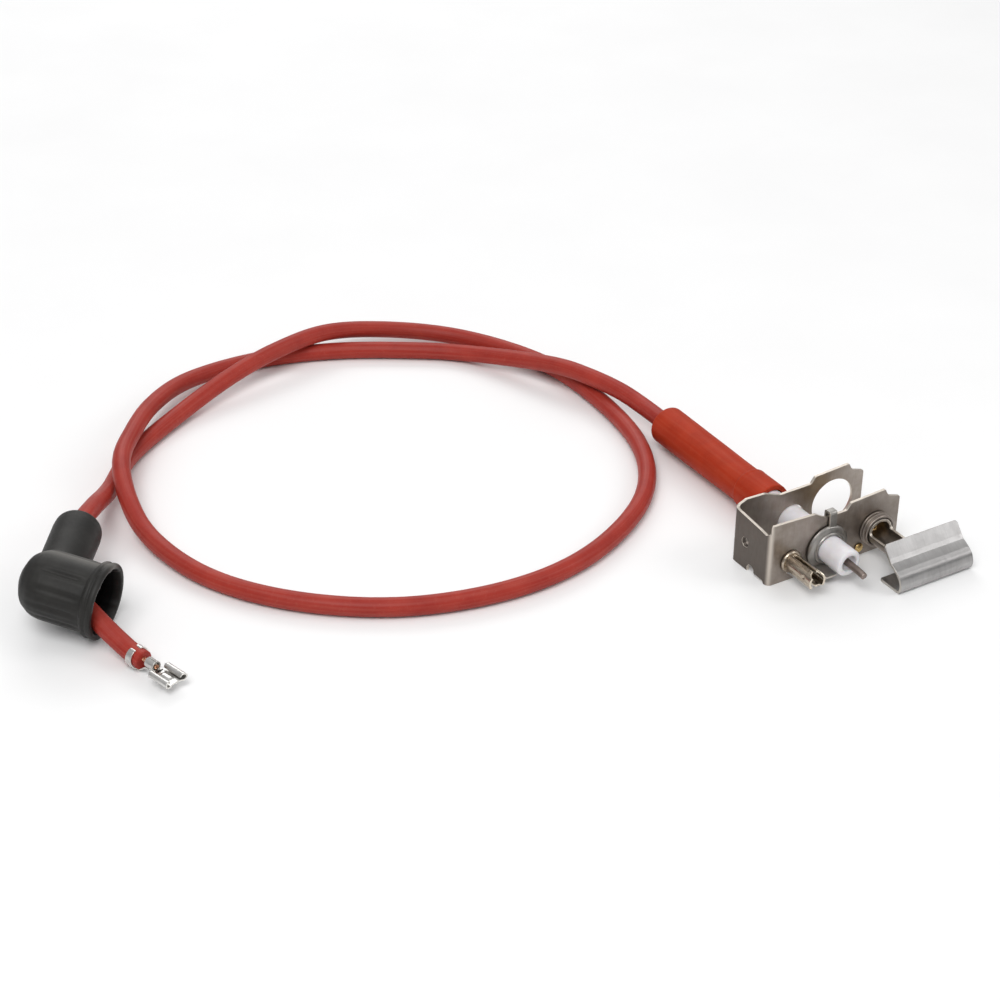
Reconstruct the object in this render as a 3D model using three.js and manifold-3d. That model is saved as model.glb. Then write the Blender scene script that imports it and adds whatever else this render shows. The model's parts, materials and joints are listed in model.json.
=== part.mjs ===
// Ignition electrode on a gas pilot bracket, with its high-voltage lead.
//
// Bracket coordinates, in millimetres: x = 0 is the outer face of the web, y = 0 is the
// front face of the front plate, z = 0 is the lower edge that the bracket stands on.
// The electrode points along -Y, the lead leaves along +Y. A group at the end moves the
// origin to the middle of the footprint of everything that isn't on the lead.

import * as THREE from 'three';
import { mergeVertices } from 'three/addons/utils/BufferGeometryUtils.js';
import Module from 'manifold-3d';

const wasm = await Module();
wasm.setup();

// ---- driving dimensions -------------------------------------------------------------

const CLEARANCE = 0.3;            // gap between pieces that touch
const SHEET = 1.0;                // bracket steel
const BRACKET_WIDTH = 50;
const BRACKET_DEPTH = 18.9;       // front face of one plate to back face of the other
const BRACKET_HEIGHT = 21.4;
const WEB_HEIGHT = 18.8;
const BEND_RADIUS = 1.8;          // outside of the two bends

const ELECTRODE_X = 21.9;
const AXIS_HEIGHT = 7.8;          // electrode, sleeve and splice
const NOSE_RADIUS = 3.95;
const BODY_RADIUS = 4.75;
const NOSE_LENGTH = 11.7;
const BODY_REAR_Y = 39;
const SPLICE_REAR_Y = 53;
const ROD_RADIUS = 1.15;
const ROD_TIP_Y = -18.6;
const ROD_DROOP = 0.7;

const BURNER_X = 40.4;
const BURNER_HEIGHT = 8.8;
const BURNER_RADIUS = 4.5;
const BURNER_WALL = 0.9;
const BURNER_FRONT_Y = -16.5;
const FOOT_FRONT_Y = -20.4;

const HOOD_LEFT_X = 32;
const HOOD_RIGHT_X = 60.6;
const HOOD_FRONT_Y = -25;
const HOOD_SHEET = 0.9;
const HOOD_RIVET_Y = -18.5;

const RIVET_X = 35;
const RIVET_HEIGHT = 2.9;

const PLATE_PEAK_X = 16.8;         // where the front plate's top edge starts to dip
const BACK_PEAK_X = 11;

const SENSOR_X = 8.2;
const SENSOR_HEIGHT = 7;
const SENSOR_TIP_Y = -13.6;
const SENSOR_RADIUS = 3.0;

const LARGE_HOLE_X = 38.1;
const LARGE_HOLE_HEIGHT = 9.3;
const LARGE_HOLE_RADIUS = 7.95;

const LEAD_RADIUS = 3;
const LEAD_SIDES = 10;
const LEAD_STEPS = 80;
const LEAD_START_Y = 56.3;
const SLEEVE_FRONT_Y = 28;
const SLEEVE_BULGE_Y = 40;         // where the stretched front end falls back to the tube
const SLEEVE_REAR_Y = 87.2;
const SLEEVE_RADIUS = 6.4;

// middle of the footprint without the lead
const ORIGIN_X = HOOD_RIGHT_X / 2;
const ORIGIN_Y = (SLEEVE_REAR_Y + HOOD_FRONT_Y) / 2;

// Centre line of the lead from the splice inside the sleeve to the push-on terminal,
// measured from the origin of the whole part. It lies on the table except where it
// passes over itself in long low humps and where it rises into the angled boot.
const LEAD_ROUTE = [
  [-8.4, 25.2, 7.8], [-8.4, 43, 7.8], [-8.4, 70, 7.9], [-10.4, 82, 8.9],
  [-15.2, 96, 9.7], [-19.8, 108, 9.2], [-38, 142, 3.6],
  [-54, 155, 3.15], [-80, 169.3, 3.15], [-106, 176, 3.25], [-134, 171.2, 5.2],
  [-154, 155, 8.9], [-168, 138, 10.5], [-178.3, 122, 11], [-183.6, 104, 8],
  [-184.4, 86, 4.3], [-177.5, 57, 3.1], [-160, 31.5, 3.1], [-132, 11.6, 3.1],
  [-98, 3.6, 3.1], [-68, 8.3, 3.1], [-36, 28.3, 3.1], [-19, 57, 3.1],
  [-14.2, 103, 3.1], [-19, 128, 3.15], [-35, 155.5, 3.7], [-57, 169.5, 6],
  [-79, 172.6, 9.1], [-101, 168, 9.7], [-121, 162.5, 7.6], [-145, 153, 3.9],
  [-170, 136, 3.3], [-185.4, 115.8, 5.3],
];
const LEAD_TAIL = [
  [-197.6, 96.7, 12.9], [-204.9, 86.2, 15.8], [-213.7, 73.8, 15.1], [-219.2, 63.6, 14.1],
  [-219, 52, 11.6], [-212.7, 32, 4.2], [-210.7, 25.3, 3.6],
];

// ---- materials ----------------------------------------------------------------------

function material(color, roughness, metalness) {
  return new THREE.MeshStandardMaterial({ color, roughness, metalness });
}

const steel = material(0x8a8279, 0.42, 1);
const galvanised = material(0xb9b6b1, 0.38, 1);
const springSteel = material(0x9a958e, 0.3, 1);
const springNickel = material(0xa99a85, 0.3, 1);
const tin = material(0xc4c2be, 0.22, 1);
const heatResistingWire = material(0x7d6c63, 0.45, 1);
const brass = material(0xc49a4a, 0.3, 1);
const copper = material(0xb87a56, 0.35, 1);
const ceramic = material(0xe6e2e4, 0.45, 0);
const cement = material(0xbcb4a4, 0.85, 0);
const sleeveSilicone = material(0xb8401f, 0.5, 0);
const leadSilicone = material(0xa83a32, 0.5, 0);
const blackRubber = material(0x2c2b2a, 0.55, 0);

// ---- making solids ------------------------------------------------------------------

function toSolid(geometry) {
  const bare = geometry.index ? geometry.toNonIndexed() : geometry.clone();
  bare.deleteAttribute('normal');
  bare.deleteAttribute('uv');
  const welded = mergeVertices(bare, 1e-4);
  return new wasm.Manifold(new wasm.Mesh({
    numProp: 3,
    vertProperties: new Float32Array(welded.attributes.position.array),
    triVerts: new Uint32Array(welded.index.array),
  }));
}

function toGeometry(solid) {
  const mesh = solid.getMesh();
  const geometry = new THREE.BufferGeometry();
  geometry.setAttribute('position', new THREE.BufferAttribute(mesh.vertProperties, 3));
  geometry.setIndex(new THREE.BufferAttribute(mesh.triVerts, 1));
  return geometry;
}

function cut(solid, ...tools) {
  return tools.reduce((left, tool) => left.subtract(tool), solid);
}

function join(solid, ...others) {
  return others.reduce((whole, other) => whole.add(other), solid);
}

function box(x0, x1, y0, y1, z0, z1) {
  const geometry = new THREE.BoxGeometry(x1 - x0, y1 - y0, z1 - z0);
  geometry.translate((x0 + x1) / 2, (y0 + y1) / 2, (z0 + z1) / 2);
  return toSolid(geometry);
}

// A solid of revolution about a line along +Y through (x, z). The profile is a list of
// [radius, y] with y rising on the outside and falling on the inside or on the axis.
function turned(profile, x, z, sides = 32) {
  const outline = profile.map(([radius, y]) => new THREE.Vector2(radius, y));
  outline.push(outline[0].clone());
  const geometry = new THREE.LatheGeometry(outline, sides);
  geometry.translate(x, 0, z);
  return toSolid(geometry);
}

function rodAlongY(radius, y0, y1, x, z, sides = 32) {
  return turned([[0, y0], [radius, y0], [radius, y1], [0, y1]], x, z, sides);
}

function tubeAlongY(outer, inner, y0, y1, x, z, sides = 32) {
  return turned([[inner, y0], [outer, y0], [outer, y1], [inner, y1]], x, z, sides);
}

function cylinderAlongX(radius, x0, x1, y, z, sides = 24) {
  const geometry = new THREE.CylinderGeometry(radius, radius, x1 - x0, sides);
  geometry.rotateZ(Math.PI / 2);
  geometry.translate((x0 + x1) / 2, y, z);
  return toSolid(geometry);
}

function cylinderAlongZ(radius, x, y, z0, z1, sides = 20) {
  const geometry = new THREE.CylinderGeometry(radius, radius, z1 - z0, sides);
  geometry.rotateX(Math.PI / 2);
  geometry.translate(x, y, (z0 + z1) / 2);
  return toSolid(geometry);
}

function extruded(shape, depth, curveSegments = 8) {
  return new THREE.ExtrudeGeometry(shape, { depth, bevelEnabled: false, curveSegments });
}

// An outline drawn in x and z, standing between y0 and y1.
function plateAlongY(shape, y0, y1) {
  const geometry = extruded(shape, y1 - y0);
  geometry.rotateX(Math.PI / 2);
  geometry.translate(0, y1, 0);
  return toSolid(geometry);
}

// An outline drawn in y and z, standing between x0 and x1.
function plateAlongX(shape, x0, x1) {
  const geometry = extruded(shape, x1 - x0);
  geometry.rotateX(Math.PI / 2);
  geometry.rotateZ(Math.PI / 2);
  geometry.translate(x0, 0, 0);
  return toSolid(geometry);
}

function outline(points) {
  return new THREE.Shape(points.map(([u, v]) => new THREE.Vector2(u, v)));
}

function part(name, shape, look) {
  const geometry = shape.isBufferGeometry ? shape : toGeometry(shape);
  const mesh = new THREE.Mesh(geometry, look);
  mesh.name = name;
  return mesh;
}

// ---- bracket ------------------------------------------------------------------------

function roundedRectangle(x0, x1, y0, y1, radius) {
  const shape = new THREE.Shape();
  shape.moveTo(x1, y0);
  shape.lineTo(x1, y1);
  shape.lineTo(x0 + radius, y1);
  shape.absarc(x0 + radius, y1 - radius, radius, Math.PI / 2, Math.PI, false);
  shape.lineTo(x0, y0 + radius);
  shape.absarc(x0 + radius, y0 + radius, radius, Math.PI, 1.5 * Math.PI, false);
  shape.closePath();
  return shape;
}

// The sheet bent into a U: web on the left, both plates open to the right.
function bentChannel() {
  const outer = roundedRectangle(0, BRACKET_WIDTH, 0, BRACKET_DEPTH, BEND_RADIUS);
  const inner = roundedRectangle(SHEET, BRACKET_WIDTH + 1, SHEET, BRACKET_DEPTH - SHEET,
    BEND_RADIUS - SHEET);
  const whole = toSolid(extruded(outer, BRACKET_HEIGHT, 5));
  const hollowGeometry = extruded(inner, BRACKET_HEIGHT + 2, 5);
  hollowGeometry.translate(0, 0, -1);
  return cut(whole, toSolid(hollowGeometry));
}

// Outline that a plate is blanked to: the top edge dips from its peak towards the middle,
// steps up to the ear over the burner and steps down again at the right-hand shoulder.
function plateOutline(peakX) {
  return outline([
    [-1, 0], [BRACKET_WIDTH - 0.8, 0], [BRACKET_WIDTH, 0.8], [BRACKET_WIDTH, 17.2],
    [45.6, 18.7], [44.8, 19.6], [43.8, BRACKET_HEIGHT], [30.6, 20.6],
    [29, 18.4], [20.8, 18.4], [peakX, 20.9], [3, BRACKET_HEIGHT], [-1, BRACKET_HEIGHT],
  ]);
}

// The lower edge of the front plate is cut away between its pointed toe, the sensor's hole
// and the burner's foot.
function toeCutter() {
  const shape = outline([
    [10.6, -1], [9.9, 0.4], [7.2, 2.6], [6.9, 4.6], [10.6, 4.6], [15.6, 2.4], [17, -1],
  ]);
  return plateAlongY(shape, -1, SHEET + 0.5);
}

// What is blanked away from the web: its top corner, and the notch in its lower edge.
function webCutters() {
  const top = outline([
    [0.9, WEB_HEIGHT - 0.4], [2.4, WEB_HEIGHT - 1.4], [5, WEB_HEIGHT - 1],
    [BRACKET_DEPTH - 3, WEB_HEIGHT], [BRACKET_DEPTH - 0.9, WEB_HEIGHT + 0.4],
    [BRACKET_DEPTH - 0.9, BRACKET_HEIGHT + 1], [0.9, BRACKET_HEIGHT + 1],
  ]);
  const notch = outline([
    [7.2, -1], [10.6, -1], [10.6, 1.6], [9.8, 2.8], [8.2, 2.8], [7.2, 1.8],
  ]);
  const foot = outline([[2.2, -1], [7.3, -1], [7.3, 0.9], [2.8, 0.9]]);
  return [top, notch, foot].map((shape) => plateAlongX(shape, -1, SHEET + 0.9));
}

function bracketSolid() {
  const middle = BRACKET_DEPTH / 2;
  const blank = join(
    plateAlongY(plateOutline(PLATE_PEAK_X), -1, middle),
    plateAlongY(plateOutline(BACK_PEAK_X), middle, BRACKET_DEPTH + 1),
  );
  const back = BRACKET_DEPTH - SHEET;
  const threadedRim = cylinderAlongX(2.7, SHEET - 0.2, SHEET + 1.1, 12.2, 9.6);
  const body = join(bentChannel().intersect(blank), threadedRim);
  return cut(
    body,
    ...webCutters(),
    toeCutter(),
    cylinderAlongX(1.6, -1, 4, 12.2, 9.6, 20),
    rodAlongY(NOSE_RADIUS + 0.4, -1, SHEET + 0.5, ELECTRODE_X, AXIS_HEIGHT),
    rodAlongY(BODY_RADIUS + 0.35, back - 0.5, back + 2, ELECTRODE_X, AXIS_HEIGHT),
    rodAlongY(BURNER_RADIUS + CLEARANCE, -1, SHEET + 0.5, BURNER_X, BURNER_HEIGHT),
    rodAlongY(SENSOR_RADIUS + CLEARANCE, -1, SHEET + 0.5, SENSOR_X, SENSOR_HEIGHT, 24),
    rodAlongY(1.3, -1, SHEET + 0.5, RIVET_X, RIVET_HEIGHT, 16),
    rodAlongY(LARGE_HOLE_RADIUS, back - 0.5, back + 2, LARGE_HOLE_X, LARGE_HOLE_HEIGHT, 40),
  );
}

// ---- electrode ----------------------------------------------------------------------

function ceramicSolid() {
  const shoulder = SHEET + 1.1;
  const boreRadius = ROD_RADIUS + CLEARANCE;
  return turned([
    [boreRadius, -NOSE_LENGTH + 2.6], [2.2, -NOSE_LENGTH + 1.6], [2.2, -NOSE_LENGTH],
    [NOSE_RADIUS - 0.9, -NOSE_LENGTH], [NOSE_RADIUS - 0.25, -NOSE_LENGTH + 0.3],
    [NOSE_RADIUS, -NOSE_LENGTH + 1], [NOSE_RADIUS, shoulder],
    [BODY_RADIUS, shoulder], [BODY_RADIUS, BODY_REAR_Y - 0.6],
    [BODY_RADIUS - 0.6, BODY_REAR_Y], [2.8, BODY_REAR_Y], [2.8, BODY_REAR_Y - 4],
    [boreRadius, BODY_REAR_Y - 4],
  ], ELECTRODE_X, AXIS_HEIGHT, 40);
}

// Straight through the ceramic, drooping slightly beyond the nose.
function rodGeometry() {
  const path = new THREE.CatmullRomCurve3([
    new THREE.Vector3(ELECTRODE_X, BODY_REAR_Y + 7, AXIS_HEIGHT),
    new THREE.Vector3(ELECTRODE_X, 12, AXIS_HEIGHT),
    new THREE.Vector3(ELECTRODE_X, -NOSE_LENGTH + 1, AXIS_HEIGHT),
    new THREE.Vector3(ELECTRODE_X + 0.1, ROD_TIP_Y + 3, AXIS_HEIGHT - ROD_DROOP * 0.45),
    new THREE.Vector3(ELECTRODE_X + 0.2, ROD_TIP_Y, AXIS_HEIGHT - ROD_DROOP),
  ], false, 'centripetal');
  return tubeGeometry(path, ROD_RADIUS, 16, 18);
}

function tubeGeometry(path, radius, sides, steps) {
  const section = new THREE.Shape();
  section.absarc(0, 0, radius, 0, 2 * Math.PI, false);
  return new THREE.ExtrudeGeometry(section, {
    steps,
    curveSegments: sides / 2,
    bevelEnabled: false,
    extrudePath: path,
  });
}

// Push-on spring collar that grips the nose, hooks over the top edge of the front plate
// and ends in a flat tongue under the ceramic.
function retainingClipSolid() {
  const front = -CLEARANCE - 1.1;
  const ring = rodAlongY(NOSE_RADIUS + 1.9, front, -CLEARANCE, ELECTRODE_X, AXIS_HEIGHT, 40);
  const lip = rodAlongY(NOSE_RADIUS + 1.1, front - 0.7, front + 0.1, ELECTRODE_X,
    AXIS_HEIGHT, 40);
  const strapLeft = ELECTRODE_X + 0.6;
  const strapRight = ELECTRODE_X + 3.4;
  const strapTop = 20.7;
  const strap = box(strapLeft, strapRight, front + 0.1, -CLEARANCE, AXIS_HEIGHT + 4.6,
    strapTop);
  const hookTop = box(strapLeft, strapRight, front + 0.1, SHEET + 1.1, strapTop - 0.8,
    strapTop);
  const hookEnd = box(strapLeft, strapRight, SHEET + CLEARANCE, SHEET + 1.1, 17.2,
    strapTop - 0.4);
  const tongue = box(ELECTRODE_X - 6.4, ELECTRODE_X - 1.6, -8.6, -CLEARANCE - 0.2,
    AXIS_HEIGHT - 5.5, AXIS_HEIGHT - 4.7);
  const bore = rodAlongY(NOSE_RADIUS + CLEARANCE, -12, 1, ELECTRODE_X, AXIS_HEIGHT, 40);
  return cut(join(ring, lip, strap, hookTop, hookEnd, tongue), bore);
}

// Crimped barrel behind the ceramic, stepped at its middle, that joins the rod's rear end
// to the lead's strands.
function spliceSolid() {
  const front = BODY_REAR_Y + 0.6;
  const rear = SPLICE_REAR_Y;
  const barrel = turned([
    [ROD_RADIUS + CLEARANCE, front], [2.3, front], [2.3, front + 3.4], [2.9, front + 4],
    [2.9, rear - 3], [2.3, rear], [1.2, rear], [1.2, front + 8.4],
    [ROD_RADIUS + CLEARANCE, front + 7.4],
  ], ELECTRODE_X, AXIS_HEIGHT, 24);
  const crimp = (y) => box(ELECTRODE_X - 1, ELECTRODE_X + 1, y - 0.9, y + 0.9,
    AXIS_HEIGHT + 2.4, AXIS_HEIGHT + 4);
  return cut(barrel, crimp(front + 5.6), crimp(rear - 3));
}

// ---- sleeve -------------------------------------------------------------------------

function sleeveSolid() {
  const rear = SLEEVE_REAR_Y;
  const front = SLEEVE_FRONT_Y;
  const bulge = SLEEVE_BULGE_Y;
  return turned([
    [BODY_RADIUS + 0.35, front], [6.3, front], [6.75, front + 0.5], [6.8, bulge - 0.6],
    [SLEEVE_RADIUS, bulge + 0.4], [SLEEVE_RADIUS + 0.3, rear - 2], [SLEEVE_RADIUS - 0.1, rear - 0.7],
    [SLEEVE_RADIUS - 0.9, rear], [LEAD_RADIUS + 0.4, rear], [LEAD_RADIUS + 0.4, rear - 12],
    [BODY_RADIUS + 0.35, rear - 14],
  ], ELECTRODE_X, AXIS_HEIGHT, 36);
}

// ---- burner -------------------------------------------------------------------------

// Tube that passes through the front plate and is open along its top from the collar on.
// A foot under its front end carries the hood.
function burnerTubeSolid() {
  const rear = 6.6;
  const tube = tubeAlongY(BURNER_RADIUS, BURNER_RADIUS - BURNER_WALL, BURNER_FRONT_Y, rear,
    BURNER_X, BURNER_HEIGHT, 36);
  const slot = box(BURNER_X - 6, BURNER_X + 6, BURNER_FRONT_Y - 1, -3.4,
    BURNER_HEIGHT + 0.2, BURNER_HEIGHT + 8);
  const footTop = BURNER_HEIGHT - BURNER_RADIUS + 0.5;
  const footBottom = HOOD_SHEET + CLEARANCE + 0.1;
  const foot = box(BURNER_X - 2.6, BURNER_X + 2.6, FOOT_FRONT_Y, -14.8, footBottom, footTop);
  const relief = box(BURNER_X - 3, BURNER_X + 3, FOOT_FRONT_Y - 1, BURNER_FRONT_Y,
    footBottom + 1, footTop + 1);
  const hole = cylinderAlongZ(0.9, BURNER_X, HOOD_RIVET_Y, 0, 3.9, 16);
  return cut(join(cut(tube, slot), cut(foot, relief)), hole);
}

function burnerCollarSolid() {
  const bore = BURNER_RADIUS + CLEARANCE;
  return turned([
    [bore, -3.2], [5.6, -3.2], [5.8, -3], [5.8, -2.2], [5.3, -2], [5.3, -1.6], [6, -1.4],
    [6, -CLEARANCE], [bore, -CLEARANCE],
  ], BURNER_X, BURNER_HEIGHT, 36);
}

function burnerLocknutSolid() {
  const hexagon = new THREE.Shape();
  const corner = 6.4;
  for (let i = 0; i < 6; i += 1) {
    const angle = (i * Math.PI) / 3;
    const x = BURNER_X + corner * Math.cos(angle);
    const z = BURNER_HEIGHT + corner * Math.sin(angle);
    if (i === 0) {
      hexagon.moveTo(x, z);
    } else {
      hexagon.lineTo(x, z);
    }
  }
  const nut = plateAlongY(hexagon, SHEET + CLEARANCE, SHEET + CLEARANCE + 4);
  return cut(nut, rodAlongY(BURNER_RADIUS + CLEARANCE, 0, 9, BURNER_X, BURNER_HEIGHT, 36));
}

function gasInletSolid() {
  const inner = BURNER_RADIUS - BURNER_WALL - CLEARANCE;
  return turned([
    [1.9, 2], [inner, 2], [inner, 6.9], [5.2, 6.9], [5.2, 8.9], [4.7, 9.3], [1.9, 9.3],
  ], BURNER_X, BURNER_HEIGHT, 32);
}

function pilotOrificeSolid() {
  return turned([
    [0.4, -0.6], [0.9, -0.6], [1.6, 0.2], [1.6, 6.6], [0.9, 6.6], [0.9, 1], [0.4, 0.6],
  ], BURNER_X, BURNER_HEIGHT, 24);
}

// Hood section in y and z: flat upper face leaning back, a crease, a rolled lower edge,
// and a flange that returns under the burner tube.
function hoodSolid() {
  const centre = [
    [-14.6, 13], [-17.6, 9.4], [-18.6, 8.3], [-19.9, 7.4], [-21.6, 6.7], [-23.1, 5.6],
    [-23.9, 4.3], [-24.1, 2.8], [-23.7, 1.3], [-22.7, 0.5], [-14.6, 0.5],
  ];
  const side = HOOD_SHEET / 2;
  const offset = (direction) => centre.map(([y, z], i) => {
    const before = centre[Math.max(i - 1, 0)];
    const after = centre[Math.min(i + 1, centre.length - 1)];
    const length = Math.hypot(after[0] - before[0], after[1] - before[1]);
    return [
      y + (direction * side * (after[1] - before[1])) / length,
      z - (direction * side * (after[0] - before[0])) / length,
    ];
  });
  const loop = [...offset(1), ...offset(-1).reverse()];
  const hood = plateAlongX(outline(loop), HOOD_LEFT_X, HOOD_RIGHT_X);
  return cut(hood, cylinderAlongZ(0.9, BURNER_X, HOOD_RIVET_Y, -1, 2, 16));
}

function hoodRivetSolid() {
  const stem = cylinderAlongZ(0.6, BURNER_X, HOOD_RIVET_Y, 0.1, 3, 12);
  const head = cylinderAlongZ(1.6, BURNER_X, HOOD_RIVET_Y, 2.3 + CLEARANCE, 3.5, 16);
  return join(stem, head);
}

function plateRivetSolid() {
  return turned([
    [0, -1.1], [1, -1], [1.5, -0.6], [1.6, -CLEARANCE], [1, -CLEARANCE],
    [1, SHEET + CLEARANCE], [1.6, SHEET + CLEARANCE], [1.4, SHEET + 0.8], [0, SHEET + 0.9],
  ], RIVET_X, RIVET_HEIGHT, 20);
}

// ---- sensor clip --------------------------------------------------------------------

// Split spring sleeve: two arms left by slots along the top and the bottom, a half-round
// notch in the end, and a shoulder that stops it in the plate.
function sensorClipSolid() {
  const tip = SENSOR_TIP_Y;
  const tube = turned([
    [SENSOR_RADIUS - 0.7, tip], [SENSOR_RADIUS, tip], [SENSOR_RADIUS, -1.3],
    [SENSOR_RADIUS + 0.8, -1.1], [SENSOR_RADIUS + 0.8, -CLEARANCE], [SENSOR_RADIUS, -CLEARANCE],
    [SENSOR_RADIUS, 5], [SENSOR_RADIUS - 0.7, 5],
  ], SENSOR_X, SENSOR_HEIGHT, 28);
  const slot = box(SENSOR_X - 0.9, SENSOR_X + 0.9, tip - 1, -2.2, SENSOR_HEIGHT - 5,
    SENSOR_HEIGHT + 5);
  const notch = cylinderAlongZ(1.9, SENSOR_X, tip, 0, SENSOR_HEIGHT + 5, 20);
  const dimple = cylinderAlongX(0.7, SENSOR_X - 5, SENSOR_X - 2, tip + 3, SENSOR_HEIGHT + 0.6, 12);
  return cut(tube, slot, notch, dimple);
}

// ---- lead ---------------------------------------------------------------------------

function leadCurve() {
  const points = [...LEAD_ROUTE, ...LEAD_TAIL].map(([x, y, z]) => new THREE.Vector3(x, y, z));
  return new THREE.CatmullRomCurve3(points, false, 'centripetal');
}

function leadGeometry() {
  return tubeGeometry(leadCurve(), LEAD_RADIUS, LEAD_SIDES, LEAD_STEPS);
}

// ---- angled boot --------------------------------------------------------------------

// A heading by its turn from +X about +Z and its climb above level, in degrees.
function heading(turn, climb) {
  return new THREE.Vector3(1, 0, 0)
    .applyAxisAngle(new THREE.Vector3(0, 1, 0), -THREE.MathUtils.degToRad(climb))
    .applyAxisAngle(new THREE.Vector3(0, 0, 1), THREE.MathUtils.degToRad(turn));
}

const BOOT_CENTRE = [-224, 59.1, 14.1];    // where the barrel's and the neck's axes meet
const BOOT_MOUTH = heading(-47.2, -8);
const BOOT_NECK = heading(54.8, 3);
const BOOT_TURN = BOOT_MOUTH.angleTo(BOOT_NECK);

// Local frame: the barrel's mouth faces +X, the neck leaves at its turn from it in XY.
function bootSolid() {
  const along = (profile, turn, sides) => {
    const shape = profile.map(([radius, x]) => new THREE.Vector2(radius, x));
    shape.push(shape[0].clone());
    const geometry = new THREE.LatheGeometry(shape, sides);
    geometry.rotateZ(-Math.PI / 2);
    geometry.rotateZ(turn);
    return toSolid(geometry);
  };
  const barrel = along([
    [0, -11.8], [4.4, -11.2], [7.8, -9], [9.8, -5.6], [10.5, -1], [10.6, 12.7], [11.6, 13.2],
    [11.8, 14.4], [11.2, 14.9], [11.8, 15.4], [11.8, 16.9], [0, 16.9],
  ], 0, 40);
  const neck = along([
    [0, 0], [7.3, 0], [7.6, 27.6], [7.3, 29.8], [6.2, 31.5], [4.6, 32.3], [0, 32.3],
  ], BOOT_TURN, 36);
  const chamber = along([
    [0, -9.2], [3.6, -8.6], [6.4, -6.6], [8.2, -3], [8.8, 0.6], [8.9, 12.7], [9.8, 14.6],
    [9.9, 18], [0, 18],
  ], 0, 36);
  const bore = along([
    [0, -1], [6.2, -1], [6.2, 11], [4.6, 16], [LEAD_RADIUS + 0.5, 19],
    [LEAD_RADIUS + 0.5, 34], [0, 34],
  ], BOOT_TURN, 28);
  return cut(join(barrel, neck), chamber, bore);
}

// Stands the local frame on the two headings.
function bootAttitude() {
  const across = BOOT_NECK.clone()
    .addScaledVector(BOOT_MOUTH, -BOOT_NECK.dot(BOOT_MOUTH))
    .normalize();
  const normal = BOOT_MOUTH.clone().cross(across);
  return new THREE.Matrix4().makeBasis(BOOT_MOUTH, across, normal);
}

// ---- push-on terminal ---------------------------------------------------------------

const CONDUCTOR_RISE = 0.85;      // conductor above the terminal's centre height

// Local frame: the mouth faces +X, the floor is level, x = 0 is the end of the jacket.
function terminalSolid() {
  const floor = box(6.4, 14.6, -3.4, 3.4, -0.9, -0.3);
  const neck = box(2, 7, -1.5, 1.5, -0.9, -0.3);
  const rail = (side) => {
    const length = 8.4;
    const middle = 10.7;
    const geometry = new THREE.CylinderGeometry(1.15, 1.15, length, 14);
    geometry.rotateZ(Math.PI / 2);
    geometry.translate(middle, side * 2.85, 0.25);
    const hollow = new THREE.CylinderGeometry(0.55, 0.55, length + 1, 10);
    hollow.rotateZ(Math.PI / 2);
    hollow.translate(middle, side * 2.65, 0.3);
    return cut(toSolid(geometry), toSolid(hollow));
  };
  const wireCrimp = (() => {
    const geometry = new THREE.CylinderGeometry(1.7, 1.7, 3.6, 16);
    geometry.rotateZ(Math.PI / 2);
    geometry.translate(4, 0, CONDUCTOR_RISE - 0.05);
    const bore = new THREE.CylinderGeometry(1.1, 1.1, 6, 14);
    bore.rotateZ(Math.PI / 2);
    bore.translate(4, 0, CONDUCTOR_RISE);
    return cut(toSolid(geometry), toSolid(bore));
  })();
  return join(floor, neck, rail(1), rail(-1), wireCrimp);
}

function conductorSolid(length) {
  const geometry = new THREE.CylinderGeometry(0.8, 0.8, length, 12);
  geometry.rotateZ(Math.PI / 2);
  geometry.translate(length / 2 + CLEARANCE, 0, CONDUCTOR_RISE);
  return toSolid(geometry);
}

// ---- assembly -----------------------------------------------------------------------

const bracketFrame = new THREE.Group();
bracketFrame.position.set(-ORIGIN_X, -ORIGIN_Y, 0);
bracketFrame.add(
  part('bracket', bracketSolid(), steel),
  part('sensor_clip', sensorClipSolid(), springNickel),
  part('ceramic_insulator', ceramicSolid(), ceramic),
  part('ceramic_washer', tubeAlongY(BODY_RADIUS, NOSE_RADIUS + CLEARANCE, SHEET + CLEARANCE,
    SHEET + 0.8, ELECTRODE_X, AXIS_HEIGHT, 32), cement),
  part('ceramic_retaining_clip', retainingClipSolid(), springSteel),
  part('electrode_rod', rodGeometry(), heatResistingWire),
  part('rod_cement', tubeAlongY(2.5, ROD_RADIUS + CLEARANCE, BODY_REAR_Y - 3.7,
    BODY_REAR_Y - 0.2, ELECTRODE_X, AXIS_HEIGHT, 20), cement),
  part('splice_ferrule', spliceSolid(), tin),
  part('splice_conductor', rodAlongY(0.8, BODY_REAR_Y + 9.6, LEAD_START_Y - CLEARANCE, ELECTRODE_X,
    AXIS_HEIGHT, 12), copper),
  part('insulating_sleeve', sleeveSolid(), sleeveSilicone),
  part('burner_tube', burnerTubeSolid(), steel),
  part('burner_collar', burnerCollarSolid(), steel),
  part('burner_locknut', burnerLocknutSolid(), brass),
  part('gas_inlet', gasInletSolid(), brass),
  part('pilot_orifice', pilotOrificeSolid(), brass),
  part('flame_hood', hoodSolid(), galvanised),
  part('plate_rivet', plateRivetSolid(), brass),
  part('hood_rivet', hoodRivetSolid(), springSteel),
);

const boot = part('angle_boot', bootSolid(), blackRubber);
boot.position.set(...BOOT_CENTRE);
boot.setRotationFromMatrix(bootAttitude());

// The terminal carries on along the last stretch of the lead.
const leadEnd = new THREE.Vector3(...LEAD_TAIL.at(-1));
const leadHeading = leadCurve().getTangent(1);
const terminalFrame = new THREE.Group();
terminalFrame.position.copy(leadEnd);
terminalFrame.rotation.z = Math.atan2(leadHeading.y, leadHeading.x);
terminalFrame.add(
  part('push_on_terminal', terminalSolid(), tin),
  part('terminal_conductor', conductorSolid(5.6), copper),
);

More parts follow.
